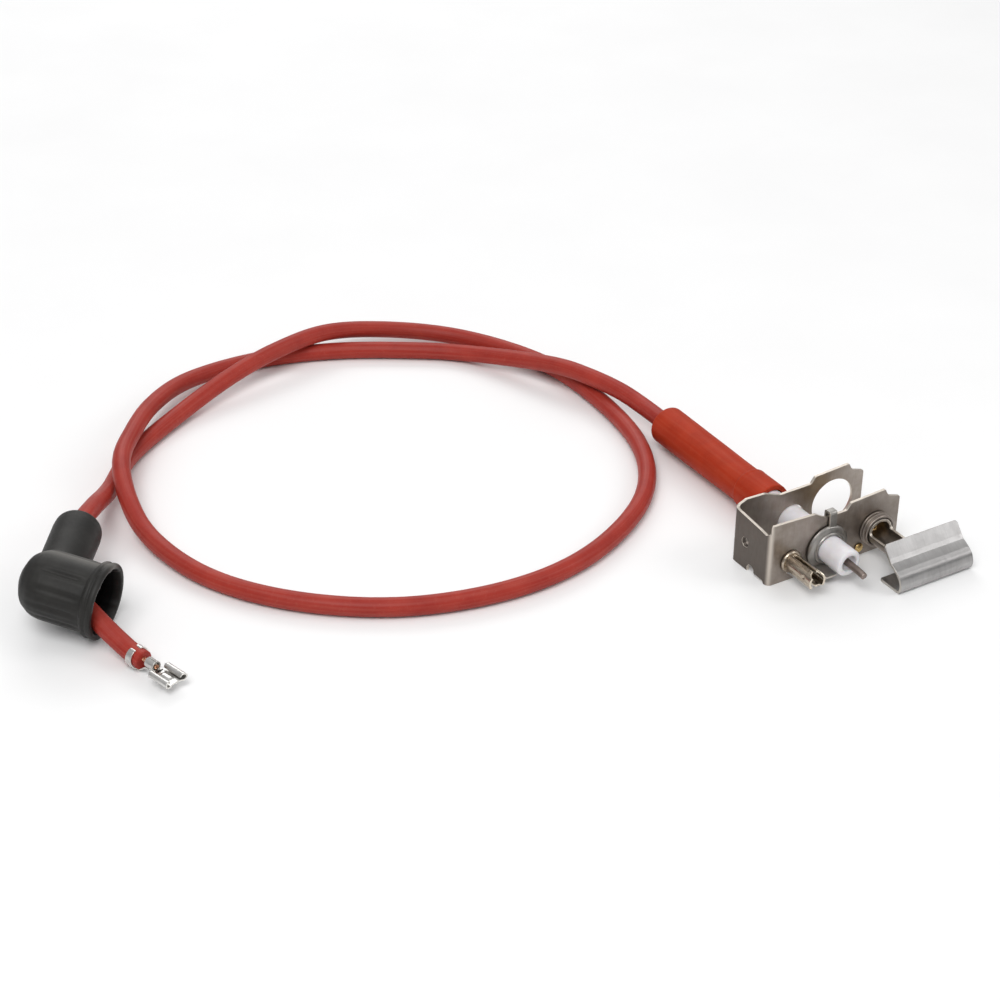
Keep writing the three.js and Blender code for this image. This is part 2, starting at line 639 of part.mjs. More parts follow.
const assembly = new THREE.Group();
assembly.add(bracketFrame, part('lead_jacket', leadGeometry(), leadSilicone), boot, terminalFrame);

export default assembly;
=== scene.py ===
"""Looks of the ignition electrode on its pilot bracket, with its high-voltage lead.

Lengths are millimetres in bracket coordinates unless a comment says otherwise: x = 0 is the
outer face of the web, y = 0 the front face of the front plate, z = 0 the lower edge.
"""

import json
from math import atan2, cos, degrees, exp, hypot, pi, radians, sin, tan

import bmesh
import bpy
from mathutils import Matrix, Vector, noise
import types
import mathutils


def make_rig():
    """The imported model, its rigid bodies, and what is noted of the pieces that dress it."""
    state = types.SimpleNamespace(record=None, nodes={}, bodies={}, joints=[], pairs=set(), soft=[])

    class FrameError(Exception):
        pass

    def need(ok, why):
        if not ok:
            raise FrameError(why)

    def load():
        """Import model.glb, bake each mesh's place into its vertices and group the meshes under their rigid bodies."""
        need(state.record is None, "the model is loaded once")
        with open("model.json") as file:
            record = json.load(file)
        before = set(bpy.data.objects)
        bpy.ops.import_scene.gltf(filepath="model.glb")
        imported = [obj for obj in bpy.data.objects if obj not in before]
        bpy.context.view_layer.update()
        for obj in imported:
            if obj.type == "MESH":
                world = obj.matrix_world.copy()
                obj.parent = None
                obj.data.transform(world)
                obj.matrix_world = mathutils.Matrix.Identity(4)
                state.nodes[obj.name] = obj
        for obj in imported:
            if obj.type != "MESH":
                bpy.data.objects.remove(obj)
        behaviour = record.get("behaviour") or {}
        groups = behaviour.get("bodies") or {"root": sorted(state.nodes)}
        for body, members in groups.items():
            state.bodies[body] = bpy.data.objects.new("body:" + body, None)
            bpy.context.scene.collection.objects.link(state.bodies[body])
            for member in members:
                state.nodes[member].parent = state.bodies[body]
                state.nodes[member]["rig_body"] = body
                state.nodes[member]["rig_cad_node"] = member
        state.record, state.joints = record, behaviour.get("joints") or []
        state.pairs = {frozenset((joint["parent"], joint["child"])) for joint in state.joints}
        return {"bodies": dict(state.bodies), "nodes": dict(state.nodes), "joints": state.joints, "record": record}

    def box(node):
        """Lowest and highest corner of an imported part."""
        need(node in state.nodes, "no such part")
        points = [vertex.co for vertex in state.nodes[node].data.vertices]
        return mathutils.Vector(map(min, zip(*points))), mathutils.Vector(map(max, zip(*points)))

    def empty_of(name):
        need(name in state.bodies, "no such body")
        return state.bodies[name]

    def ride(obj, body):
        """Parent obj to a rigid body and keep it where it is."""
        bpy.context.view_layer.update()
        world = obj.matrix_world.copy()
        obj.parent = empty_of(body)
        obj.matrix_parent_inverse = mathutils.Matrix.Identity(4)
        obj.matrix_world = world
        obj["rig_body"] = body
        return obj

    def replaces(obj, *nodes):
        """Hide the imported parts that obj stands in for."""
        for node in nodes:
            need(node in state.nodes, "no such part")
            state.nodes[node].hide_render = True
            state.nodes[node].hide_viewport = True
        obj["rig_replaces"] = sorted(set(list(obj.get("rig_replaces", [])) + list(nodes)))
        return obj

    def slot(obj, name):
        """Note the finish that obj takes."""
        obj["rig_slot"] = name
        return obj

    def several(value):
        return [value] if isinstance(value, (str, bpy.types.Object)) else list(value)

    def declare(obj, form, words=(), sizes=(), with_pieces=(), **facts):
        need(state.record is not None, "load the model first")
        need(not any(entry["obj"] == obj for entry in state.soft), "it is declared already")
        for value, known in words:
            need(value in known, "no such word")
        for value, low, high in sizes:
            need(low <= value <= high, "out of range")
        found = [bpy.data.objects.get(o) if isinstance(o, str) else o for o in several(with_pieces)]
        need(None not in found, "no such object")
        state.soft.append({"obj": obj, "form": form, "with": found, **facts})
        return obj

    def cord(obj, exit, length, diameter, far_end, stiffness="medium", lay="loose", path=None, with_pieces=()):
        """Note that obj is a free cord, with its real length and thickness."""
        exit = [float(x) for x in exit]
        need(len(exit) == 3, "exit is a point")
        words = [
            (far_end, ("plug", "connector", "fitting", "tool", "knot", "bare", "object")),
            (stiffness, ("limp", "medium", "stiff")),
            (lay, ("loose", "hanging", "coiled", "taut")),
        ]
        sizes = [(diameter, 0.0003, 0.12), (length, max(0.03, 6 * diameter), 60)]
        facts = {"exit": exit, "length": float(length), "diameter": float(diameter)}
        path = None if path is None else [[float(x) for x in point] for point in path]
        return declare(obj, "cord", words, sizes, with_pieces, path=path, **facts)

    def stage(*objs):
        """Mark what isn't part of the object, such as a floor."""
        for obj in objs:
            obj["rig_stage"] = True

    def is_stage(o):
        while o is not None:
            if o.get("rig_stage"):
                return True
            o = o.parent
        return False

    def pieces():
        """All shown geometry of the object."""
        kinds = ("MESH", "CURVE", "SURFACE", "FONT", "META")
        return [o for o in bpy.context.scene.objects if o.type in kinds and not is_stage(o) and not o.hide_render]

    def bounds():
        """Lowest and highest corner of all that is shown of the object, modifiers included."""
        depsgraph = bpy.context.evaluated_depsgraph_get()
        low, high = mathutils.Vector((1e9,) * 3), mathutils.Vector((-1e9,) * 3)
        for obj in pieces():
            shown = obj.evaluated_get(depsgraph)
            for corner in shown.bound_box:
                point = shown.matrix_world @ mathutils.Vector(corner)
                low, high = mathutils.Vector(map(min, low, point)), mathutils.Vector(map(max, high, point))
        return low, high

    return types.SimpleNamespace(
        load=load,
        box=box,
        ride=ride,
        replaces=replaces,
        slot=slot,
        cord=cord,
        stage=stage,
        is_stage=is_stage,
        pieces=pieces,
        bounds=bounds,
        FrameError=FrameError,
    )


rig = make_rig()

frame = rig.load()
cad_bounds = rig.bounds()

MM = 0.001
ROOT_BODY, SLEEVE_BODY, BOOT_BODY = "pilot_assembly", "sleeve", "boot"
CORNER = Vector(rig.box("bracket")[0])
UP = Vector((0, 0, 1))


def place(x, y, z):
    """Bracket coordinates in millimetres to the frame in metres."""
    return CORNER + Vector((x, y, z)) * MM


def add_object(name, data):
    made = bpy.data.objects.new(name, data)
    bpy.context.scene.collection.objects.link(made)
    return made


# ---- camera ----

CAMERA_PLACE = (-0.3693, -0.447, 0.3628)    # metres in the frame
CAMERA_DOWN = radians(32)
CAMERA_TURN = radians(-30.43)
CAMERA_LENS = 75.55


def make_camera():
    data = bpy.data.cameras.new("camera")
    data.lens = CAMERA_LENS
    data.sensor_width = 36
    camera = add_object("camera", data)
    camera.location = CAMERA_PLACE
    camera.rotation_euler = (pi / 2 - CAMERA_DOWN, 0, CAMERA_TURN)
    bpy.context.scene.camera = camera


make_camera()

# ---- node materials ----


class Look:
    """A node material whose patterns live in the piece's own coordinates."""

    def __init__(self, name):
        self.material = bpy.data.materials.new(name)
        self.material.use_nodes = True
        self.tree = self.material.node_tree
        self.shader = self.tree.nodes["Principled BSDF"]
        self.coords = self.node("ShaderNodeTexCoord").outputs["Object"]
        self.normal = None

    def node(self, kind, **settings):
        made = self.tree.nodes.new(kind)
        for key, value in settings.items():
            setattr(made, key, value)
        return made

    def feed(self, value, socket):
        if isinstance(value, bpy.types.NodeSocket):
            self.tree.links.new(value, socket)
        elif socket.type == "RGBA":
            socket.default_value = (*value, 1)
        else:
            socket.default_value = value

    def scaled_noise(self, coords, scale, detail, roughness):
        mapping = self.node("ShaderNodeMapping")
        texture = self.node("ShaderNodeTexNoise")
        mapping.inputs["Scale"].default_value = scale
        self.feed(coords, mapping.inputs["Vector"])
        self.feed(mapping.outputs["Vector"], texture.inputs["Vector"])
        settings = {"Scale": 1.0, "Detail": detail, "Roughness": roughness}
        for socket, value in settings.items():
            texture.inputs[socket].default_value = value
        return texture.outputs["Fac"]

    def noise(self, size_mm, detail=4.0, roughness=0.55, stretch=(1, 1, 1)):
        """Noise with features of about size_mm, drawn out along each axis by stretch."""
        scale = [1 / (size_mm * MM * s) for s in stretch]
        return self.scaled_noise(self.coords, scale, detail, roughness)

    def tube_noise(self, along_mm, turns):
        """Noise on a tube's own length and girth, turns features going once round it."""
        coords = self.node("ShaderNodeUVMap", uv_map="tube").outputs["UV"]
        return self.scaled_noise(coords, (1 / (along_mm * MM), turns, 1), 3.0, 0.5)

    def attribute(self, name):
        return self.node("ShaderNodeAttribute", attribute_name=name).outputs["Fac"]

    def ramp(self, source, stops):
        """stops are (position, number or colour) pairs."""
        ramp = self.node("ShaderNodeValToRGB")
        elements = ramp.color_ramp.elements
        while len(elements) < len(stops):
            elements.new(0.5)
        for element, (position, value) in zip(elements, stops):
            colour = (value,) * 3 if isinstance(value, (int, float)) else value
            element.position = position
            element.color = (*colour, 1)
        self.feed(source, ramp.inputs["Fac"])
        return ramp.outputs["Color"]

    def mix(self, factor, first, second, mode="MIX"):
        """A Mix node's colour sockets are known by number: factor 0, A 6, B 7, result 2."""
        mixer = self.node("ShaderNodeMix", data_type="RGBA", blend_type=mode)
        self.feed(factor, mixer.inputs[0])
        self.feed(first, mixer.inputs[6])
        self.feed(second, mixer.inputs[7])
        return mixer.outputs[2]

    def blend(self, source, start, stop, first, second, most=1.0):
        """From first to second, or most of the way, as the source goes from start to stop."""
        return self.mix(self.ramp(source, [(start, 0.0), (stop, most)]), first, second)

    def colour(self, source):
        self.feed(source, self.shader.inputs["Base Color"])

    def rough(self, source):
        self.feed(source, self.shader.inputs["Roughness"])

    def bump(self, height, depth_mm):
        bump = self.node("ShaderNodeBump")
        bump.inputs["Distance"].default_value = depth_mm * MM
        self.feed(height, bump.inputs["Height"])
        if self.normal is not None:
            self.feed(self.normal, bump.inputs["Normal"])
        self.normal = bump.outputs["Normal"]
        self.feed(self.normal, self.shader.inputs["Normal"])

    def constant(self, **values):
        for name, value in values.items():
            self.shader.inputs[name.replace("_", " ")].default_value = value


def sheet_metal(name, dark, light, rim_highlight, roughness, grain, streaks):
    """Rolled sheet: cloudy plating, streaks along the grain, a painted highlight on the sheared edges and along a
    bend, painted shade where its mask is set.
    """
    look = Look(name)
    clouds = look.noise(6, 5, 0.62)
    streak = look.noise(0.7, 4, 0.6, grain)
    specks = look.noise(0.45, 3, 0.6)
    base = look.blend(clouds, 0.32, 0.7, dark, light)
    tone = look.ramp(streak, [(0.35, 1.0 - streaks), (0.65, 1.0)])
    base = look.mix(1.0, base, tone, "MULTIPLY")
    stained = tuple(c * 0.55 for c in dark)
    base = look.blend(specks, 0.7, 0.82, base, stained, 0.5)
    # Painted shade: a much darker copy of the steel where its mask is set.
    painted_shade = tuple(c * 0.42 for c in dark)
    base = look.mix(look.attribute("painted_shade"), base, painted_shade)
    # Painted highlight: a band along the front bend takes the rim colour.
    base = look.mix(look.attribute("bend_highlight"), base, rim_highlight)
    # Painted highlight: the sheet's edges and rounded rims take the bright rim colour.
    look.colour(look.mix(look.attribute("rim_highlight"), base, rim_highlight))
    look.rough(look.ramp(streak, [(0.3, roughness - 0.05), (0.7, roughness + 0.09)]))
    look.constant(Metallic=1.0)
    look.bump(streak, 0.006)
    look.bump(look.noise(4, 2, 0.5), 0.05)
    return look.material


def silicone(name, deep, pale, dust, roughness, gloss):
    """Extruded silicone: satin, slightly dusty, with fine lengthwise drawing lines."""
    look = Look(name)
    clouds = look.noise(11, 4, 0.6)
    grit = look.noise(0.9, 6, 0.72)
    lines = look.tube_noise(40, 26)
    base = look.blend(clouds, 0.3, 0.7, deep, pale)
    base = look.blend(lines, 0.45, 0.75, base, dust, 0.25)
    look.colour(look.blend(grit, 0.54, 0.8, base, dust, 0.35))
    look.rough(look.ramp(grit, [(0.3, roughness - 0.05), (0.75, roughness + 0.14)]))
    look.constant(Subsurface_Weight=0.05, Subsurface_Scale=0.0012, Specular_IOR_Level=gloss)
    look.bump(look.noise(0.5, 4, 0.6), 0.01)
    look.bump(lines, 0.02)
    look.bump(look.noise(3.5, 2, 0.5), 0.05)
    return look.material


def moulded_rubber(name):
    look = Look(name)
    clouds = look.noise(6, 4, 0.6)
    dust = look.noise(0.8, 6, 0.75)
    base = look.blend(clouds, 0.3, 0.7, (0.011, 0.0104, 0.0094), (0.021, 0.02, 0.018))
    base = look.blend(dust, 0.56, 0.85, base, (0.055, 0.052, 0.048), 0.4)
    # Painted highlight: a pale band along the top of the barrel.
    base = look.mix(look.attribute("top_highlight"), base, (0.13, 0.124, 0.114))
    # Painted shade: near black and hardly specular inside the mouth.
    inner_shade = look.attribute("inner_shade")
    look.colour(look.mix(inner_shade, base, (0.004, 0.004, 0.004)))
    look.feed(look.ramp(inner_shade, [(0.0, 0.3), (1.0, 0.04)]),
              look.shader.inputs["Specular IOR Level"])
    look.rough(look.ramp(dust, [(0.3, 0.46), (0.75, 0.64)]))
    look.bump(look.noise(0.3, 3, 0.65), 0.012)
    look.bump(look.noise(3, 2, 0.5), 0.05)
    return look.material


def glazed_ceramic(name):
    look = Look(name)
    clouds = look.noise(4, 5, 0.6)
    specks = look.noise(0.5, 3, 0.5)
    base = look.blend(clouds, 0.35, 0.7, (0.74, 0.71, 0.73), (0.82, 0.8, 0.82))
    look.colour(look.blend(specks, 0.68, 0.78, base, (0.5, 0.46, 0.43), 0.4))
    look.rough(look.ramp(clouds, [(0.3, 0.3), (0.75, 0.44)]))
    look.constant(Subsurface_Weight=0.12, Subsurface_Scale=0.001, Specular_IOR_Level=0.5)
    look.bump(look.noise(0.4, 3, 0.6), 0.006)
    return look.material


def machined(name, dark, light, roughness):
    look = Look(name)
    rings = look.noise(0.5, 4, 0.6)
    look.colour(look.blend(rings, 0.3, 0.7, dark, light))
    look.rough(look.ramp(rings, [(0.3, roughness - 0.06), (0.7, roughness + 0.1)]))
    look.constant(Metallic=1.0)
    look.bump(look.noise(0.3, 2, 0.5, (1, 0.3, 1)), 0.008)
    return look.material


def matt_filler(name):
    look = Look(name)
    grit = look.noise(0.5, 6, 0.7)
    look.colour(look.ramp(grit, [(0.3, (0.42, 0.38, 0.32)), (0.7, (0.66, 0.62, 0.54))]))
    look.rough(look.ramp(grit, [(0.3, 0.82), (0.7, 0.95)]))
    look.bump(grit, 0.05)
    return look.material


LOOKS = {name: make(name, *values) for name, make, *values in (
    ("bracket_steel", sheet_metal, (0.31, 0.265, 0.23), (0.44, 0.39, 0.35),
     (0.66, 0.6, 0.53), 0.4, (1, 1, 6), 0.12),
    ("galvanised_sheet", sheet_metal, (0.4, 0.39, 0.385), (0.52, 0.51, 0.505),
     (0.5, 0.47, 0.43), 0.36, (1, 9, 9), 0.14),
    ("spring_steel", sheet_metal, (0.33, 0.315, 0.295), (0.47, 0.45, 0.425),
     (0.58, 0.54, 0.49), 0.38, (1, 1, 6), 0.1),
    ("spring_nickel", sheet_metal, (0.38, 0.31, 0.24), (0.62, 0.54, 0.44),
     (0.7, 0.62, 0.51), 0.24, (1, 8, 1), 0.3),
    ("tin_plate", sheet_metal, (0.58, 0.57, 0.55), (0.72, 0.71, 0.69),
     (0.74, 0.72, 0.68), 0.33, (4, 4, 1), 0.1),
    ("heat_resisting_wire", sheet_metal, (0.2, 0.155, 0.135), (0.34, 0.28, 0.25),
     (0.34, 0.28, 0.25), 0.42, (1, 8, 1), 0.25),
    ("brass", machined, (0.6, 0.4, 0.15), (0.78, 0.58, 0.27), 0.24),
    ("copper_strand", machined, (0.6, 0.3, 0.18), (0.78, 0.46, 0.3), 0.3),
    ("white_ceramic", glazed_ceramic),
    ("cement", matt_filler),
    ("sleeve_silicone", silicone, (0.33, 0.024, 0.006), (0.42, 0.036, 0.01),
     (0.46, 0.1, 0.055), 0.52, 0.14),
    ("lead_silicone", silicone, (0.29, 0.021, 0.014), (0.37, 0.036, 0.023),
     (0.46, 0.13, 0.1), 0.42, 0.22),
    ("boot_rubber", moulded_rubber),
)}

# ---- making pieces ----


def rounded(points, radius, closed=True, steps=5):
    """A 2-D outline with its corners rounded; a point's third number is its own radius."""
    count = len(points)
    result = []
    for i, point in enumerate(points):
        here = Vector(point[:2])
        wanted = point[2] if len(point) > 2 else radius
        to_before = Vector(points[i - 1][:2]) - here
        to_after = Vector(points[(i + 1) % count][:2]) - here
        angle = to_before.angle(to_after, pi)
        at_end = not closed and i in (0, count - 1)
        if at_end or wanted <= 0 or angle > radians(178):
            result.append((here.x, here.y))
            continue
        reach = min(wanted / tan(angle / 2), 0.49 * to_before.length,
                    0.49 * to_after.length)
        arc_radius = reach * tan(angle / 2)
        middle = (to_before.normalized() + to_after.normalized()).normalized()
        centre = here + middle * (arc_radius / sin(angle / 2))
        start = here + to_before.normalized() * reach - centre
        end = here + to_after.normalized() * reach - centre
        turn = start.angle_signed(end)
        for k in range(steps + 1):
            spoke = Matrix.Rotation(-turn * k / steps, 2) @ start
            result.append(tuple(centre + spoke))
    return result


def arc(x, y, radius, start, stop, steps):
    """Points along an arc between two directions given in degrees."""
    turns = [radians(start + (stop - start) * i / steps) for i in range(steps + 1)]
    return [(x + radius * cos(t), y + radius * sin(t)) for t in turns]


def circle(x, y, radius, steps=64):
    return arc(x, y, radius, 0, 360, steps)[:-1]


class Bend:
    """A line with rounded corners that a sheet is folded along, read by its length."""

    def __init__(self, points, radius, steps=8):
        self.points = [Vector(p) for p in rounded(points, radius, False, steps)]
        self.marks = [0.0]
        for a, b in zip(self.points, self.points[1:]):
            self.marks.append(self.marks[-1] + (b - a).length)
        sides = [(b - a).normalized() for a, b in zip(self.points, self.points[1:])]
        turned_left = [Vector((-s.y, s.x)) for s in sides]
        self.normals = [turned_left[0]]
        for a, b in zip(turned_left, turned_left[1:]):
            middle = (a + b).normalized()
            self.normals.append(middle / max(middle.dot(a), 0.5))
        self.normals.append(turned_left[-1])

    def at(self, s, off):
        last = len(self.marks) - 2
        i = 0
        while i < last and s > self.marks[i + 1]:
            i += 1
        t = (s - self.marks[i]) / (self.marks[i + 1] - self.marks[i])
        point = self.points[i].lerp(self.points[i + 1], t)
        normal = self.normals[i].lerp(self.normals[i + 1], min(max(t, 0), 1))
        return point + normal * off


def add_grid(bm, rows, closed_along=True):
    """Faces between rings of points. Rings that shrink to one point are welded later."""
    verts = [[bm.verts.new(p) for p in row] for row in rows]
    count = len(verts)
    width = len(verts[0])
    for i in range(count if closed_along else count - 1):
        for j in range(width):
            a, b = verts[i], verts[(i + 1) % count]
            k = (j + 1) % width
            bm.faces.new((a[j], a[k], b[k], b[j]))


def along_y(x, z):
    return lambda r, t, a: place(x + r * cos(a), t, z + r * sin(a))


def along_z(x, y):
    return lambda r, t, a: place(x + r * cos(a), y + r * sin(a), t)


def along_x(y, z):
    return lambda r, t, a: place(t, y + r * cos(a), z + r * sin(a))


def add_turned(bm, profile, axis, radius=0.15, sides=96, shape=None):
    """A turned solid; shape(r, t, angle) may change the radius round the axis."""
    outline = rounded(profile, radius)
    rows = []
    for r, t in outline:
        ring = []
        for j in range(sides):
            angle = 2 * pi * j / sides
            ring.append(axis(shape(r, t, angle) if shape and r > 0 else r, t, angle))
        rows.append(ring)
    on_axis = any(point[0] < 1e-6 for point in profile)
    if on_axis:
        start = next(i for i, (r, _) in enumerate(outline) if r < 1e-6)
        rows = rows[start:] + rows[:start]
        if outline[(start + 1) % len(outline)][0] < 1e-6:
            rows = rows[1:] + rows[:1]
    add_grid(bm, rows, closed_along=not on_axis)


def add_tube(bm, points, radius_at, sides=24, ends=0.2):
    """A rod along points in metres, its ends rounded off over the given millimetres."""
    rows = []
    count = len(points)
    for i, point in enumerate(points):
        ahead = points[min(i + 1, count - 1)] - points[max(i - 1, 0)]
        side = ahead.cross(UP).normalized()
        up = side.cross(ahead).normalized()
        radius = radius_at(i)
        ring = [point + (side * cos(2 * pi * j / sides)
                         + up * sin(2 * pi * j / sides)) * radius * MM
                for j in range(sides)]
        rows.append(ring)

    def cap(row, centre, outward):
        """Rings that close an end, from the full ring inwards to its middle."""
        return [[centre + (p - centre) * scale - outward * ends * MM * set_back for p in row]
                for scale, set_back in ((1.0, 1.0), (0.93, 0.3), (0.8, 0.0), (0.0, 0.0))]

    head = cap(rows[0], points[0], (points[0] - points[1]).normalized())
    tail = cap(rows[-1], points[-1], (points[-1] - points[-2]).normalized())
    add_grid(bm, head[::-1] + rows[1:-1] + tail, closed_along=False)


def flat_sheet(outline, holes, thickness, edge):
    """A blanked sheet with rounded-off edges, as a mesh in (s, w, off) millimetres."""
    data = bpy.data.curves.new("blank", "CURVE")
    data.dimensions = "2D"
    data.fill_mode = "BOTH"
    data.extrude = thickness / 2 - edge
    data.bevel_depth = edge
    data.bevel_resolution = 2
    data.offset = -edge
    for loop in [outline, *holes]:
        spline = data.splines.new("POLY")
        spline.points.add(len(loop) - 1)
        for point, (s, w) in zip(spline.points, loop):
            point.co = (s, w, 0, 1)
        spline.use_cyclic_u = True
    blank = bpy.data.objects.new("blank", data)
    mesh = bpy.data.meshes.new_from_object(blank)
    bpy.data.objects.remove(blank)
    bpy.data.curves.remove(data)
    return mesh


def add_sheet(bm, outline, holes, thickness, fold, cuts=((), ()), edge=0.12):
    """A sheet blanked to outline and holes, then formed: fold(s, w, off) gives its place."""
    mesh = flat_sheet(outline, holes, thickness, edge)
    blank = bmesh.new()
    blank.from_mesh(mesh)
    bpy.data.meshes.remove(mesh)
    bmesh.ops.remove_doubles(blank, verts=blank.verts, dist=1e-4)
    for axis, places in enumerate(cuts):
        normal = [0, 0, 0]
        normal[axis] = 1
        for value in places:
            spot = [0, 0, 0]
            spot[axis] = value
            everything = blank.verts[:] + blank.edges[:] + blank.faces[:]
            bmesh.ops.bisect_plane(blank, geom=everything, plane_co=spot, plane_no=normal,
                                   dist=1e-5)
    # Painted highlight: marks every face that is not a flat face of the sheet, for the bright rim colour.
    rim_highlight = blank.faces.layers.float.new("rim_highlight")
    for face in blank.faces:
        face[rim_highlight] = 0.0 if abs(face.normal.z) > 0.95 else 1.0
    for vertex in blank.verts:
        vertex.co = fold(*vertex.co)
    bmesh.ops.recalc_face_normals(blank, faces=blank.faces)
    formed = bpy.data.meshes.new("formed")
    blank.to_mesh(formed)
    blank.free()
    bm.from_mesh(formed)
    bpy.data.meshes.remove(formed)


def frange(start, stop, step):
    count = max(1, round((stop - start) / step))
    return [start + (stop - start) * i / count for i in range(count + 1)]


def finish_piece(bm, name, slot, *replaces, body=ROOT_BODY, sharp=38, weld=True,
                 weighted=False):
    """The piece that bm holds, in place of the CAD nodes replaces; sharp is in degrees."""
    if weld:
        bmesh.ops.remove_doubles(bm, verts=bm.verts, dist=2e-7)
    bmesh.ops.dissolve_degenerate(bm, edges=bm.edges, dist=1e-8)
    bmesh.ops.recalc_face_normals(bm, faces=bm.faces)
    mesh = bpy.data.meshes.new(name)
    bm.to_mesh(mesh)
    bm.free()
    mesh.shade_smooth()
    mesh.set_sharp_from_angle(angle=radians(sharp))
    piece = add_object(name, mesh)
    if weighted:
        piece.modifiers.new("normals", "WEIGHTED_NORMAL").keep_sharp = True
    mesh.materials.append(LOOKS[slot])
    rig.ride(piece, body)
    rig.slot(piece, slot)
    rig.replaces(piece, *replaces)
    return piece


def map_tube(bm, spot):
    """UVs for a tube: spot(vert) gives metres along it and turns round it."""
    uv = bm.loops.layers.uv.new("tube")
    for face in bm.faces:
        spots = [spot(loop.vert) for loop in face.loops]
        high = max(turn for _, turn in spots)
        for loop, (along, turn) in zip(face.loops, spots):
            loop[uv].uv = (along, turn + 1 if high - turn > 0.5 else turn)


def fold_along_s(bend):
    """Forms a sheet: s follows the bend in y and z, w is x."""
    def fold(s, w, off):
        return place(w, *bend.at(s, off))
    return fold


def fold_along_w(bend):
    """Forms a sheet: w follows the bend in y and z, s is x."""
    def fold(s, w, off):
        return place(s, *bend.at(w, off))
    return fold


# ---- lead ----

# Centre line in metres in the frame, the same points as the CAD's lead.
LEAD_ROUTE = [
    (-0.0084, 0.0252, 0.0078), (-0.0084, 0.043, 0.0078), (-0.0084, 0.07, 0.0079),
    (-0.0104, 0.082, 0.0089), (-0.0152, 0.096, 0.0097), (-0.0198, 0.108, 0.0092),
    (-0.038, 0.142, 0.0036), (-0.054, 0.155, 0.00315), (-0.08, 0.1693, 0.00315),
    (-0.106, 0.176, 0.00325), (-0.134, 0.1712, 0.0052), (-0.154, 0.155, 0.0089),
    (-0.168, 0.138, 0.0105), (-0.1783, 0.122, 0.011), (-0.1836, 0.104, 0.008),
    (-0.1844, 0.086, 0.0043), (-0.1775, 0.057, 0.0031), (-0.16, 0.0315, 0.0031),
    (-0.132, 0.0116, 0.0031), (-0.098, 0.0036, 0.0031), (-0.068, 0.0083, 0.0031),
    (-0.036, 0.0283, 0.0031), (-0.019, 0.057, 0.0031), (-0.0142, 0.103, 0.0031),
    (-0.019, 0.128, 0.00315), (-0.035, 0.1555, 0.0037), (-0.057, 0.1695, 0.006),
    (-0.079, 0.1726, 0.0091), (-0.101, 0.168, 0.0097), (-0.121, 0.1625, 0.0076),
    (-0.145, 0.153, 0.0039), (-0.17, 0.136, 0.0033), (-0.1854, 0.1158, 0.0053),
    (-0.1976, 0.0967, 0.0129), (-0.2049, 0.0862, 0.0158), (-0.2137, 0.0738, 0.0151),
    (-0.2192, 0.0636, 0.0141), (-0.219, 0.052, 0.0116), (-0.2127, 0.032, 0.0042),
    (-0.2107, 0.0253, 0.0036),
]
LEAD_RADIUS = 3.0
LEAD_LENGTH = 0.9515
LEAD_STEP = 0.0012
JACKET_CRIMP = (1.6, 4.6)      # the crimp bites this far back from the jacket's end


def smooth_line(knots):
    """Centripetal Catmull-Rom curve through the knots."""
    knots = [Vector(k) for k in knots]
    padded = [knots[0] * 2 - knots[1], *knots, knots[-1] * 2 - knots[-2]]
    line, per_stretch = [], 24
    for p0, p1, p2, p3 in zip(padded, padded[1:], padded[2:], padded[3:]):
        t1 = (p1 - p0).length ** 0.5
        t2 = t1 + (p2 - p1).length ** 0.5
        t3 = t2 + (p3 - p2).length ** 0.5
        for k in range(per_stretch):
            t = t1 + (t2 - t1) * k / per_stretch
            a1 = p0.lerp(p1, t / t1)
            a2 = p1.lerp(p2, (t - t1) / (t2 - t1))
            a3 = p2.lerp(p3, (t - t2) / (t3 - t2))
            b1 = a1.lerp(a2, t / t2)
            b2 = a2.lerp(a3, (t - t1) / (t3 - t1))
            line.append(b1.lerp(b2, (t - t1) / (t2 - t1)))
    line.append(knots[-1])
    return line


def evenly(line, step):
    """The same line with its points a constant step apart."""
    lengths = [0.0]
    for a, b in zip(line, line[1:]):
        lengths.append(lengths[-1] + (b - a).length)
    count = round(lengths[-1] / step)
    result, i = [], 0
    for k in range(count + 1):
        wanted = lengths[-1] * k / count
        while i < len(line) - 2 and lengths[i + 1] < wanted:
            i += 1
        share = (wanted - lengths[i]) / (lengths[i + 1] - lengths[i])
        result.append(line[i].lerp(line[i + 1], share))
    return result


LEAD_LINE = evenly(smooth_line(LEAD_ROUTE), LEAD_STEP)


def make_lead():
    bm = bmesh.new()
    last = len(LEAD_LINE) - 1
    sides, crimp_depth = 40, 0.22
    drift_share, drift_length = 0.006, 0.03

    def radius_at(i):
        back = (last - i) * LEAD_STEP / MM
        bite = 0.0
        if JACKET_CRIMP[0] < back < JACKET_CRIMP[1]:
            share = (back - JACKET_CRIMP[0]) / (JACKET_CRIMP[1] - JACKET_CRIMP[0])
            bite = crimp_depth * sin(pi * share)
        drift = noise.noise(Vector((i * LEAD_STEP / drift_length, 3.1, 0.7)))
        return LEAD_RADIUS * (1 + drift_share * drift) - bite

    add_tube(bm, LEAD_LINE, radius_at, sides, 0.35)
    bm.verts.index_update()

    def on_lead(vert):
        row, column = divmod(vert.index, sides)
        return row * LEAD_STEP, column / sides

    map_tube(bm, on_lead)
    return finish_piece(bm, "lead", "lead_silicone", "lead_jacket")


lead = make_lead()

# ---- bracket ----

SHEET = 1.0
ELECTRODE = (21.9, 7.8)          # x and height of each axis that runs along y
BURNER = (40.4, 8.8)
SENSOR = (8.2, 7)
PLATE_RIVET = (35, 2.9)
LARGE_HOLE = (38.1, 9.3)
TAPPED_HOLE = (12.2, 9.6)        # y and height, in the web
PLATE_WIDTH = 50
BEND_MIDDLE = 1.3                # radius of the sheet's middle at the two bends
FRONT_MIDDLE, BACK_MIDDLE = 0.5, 18.4


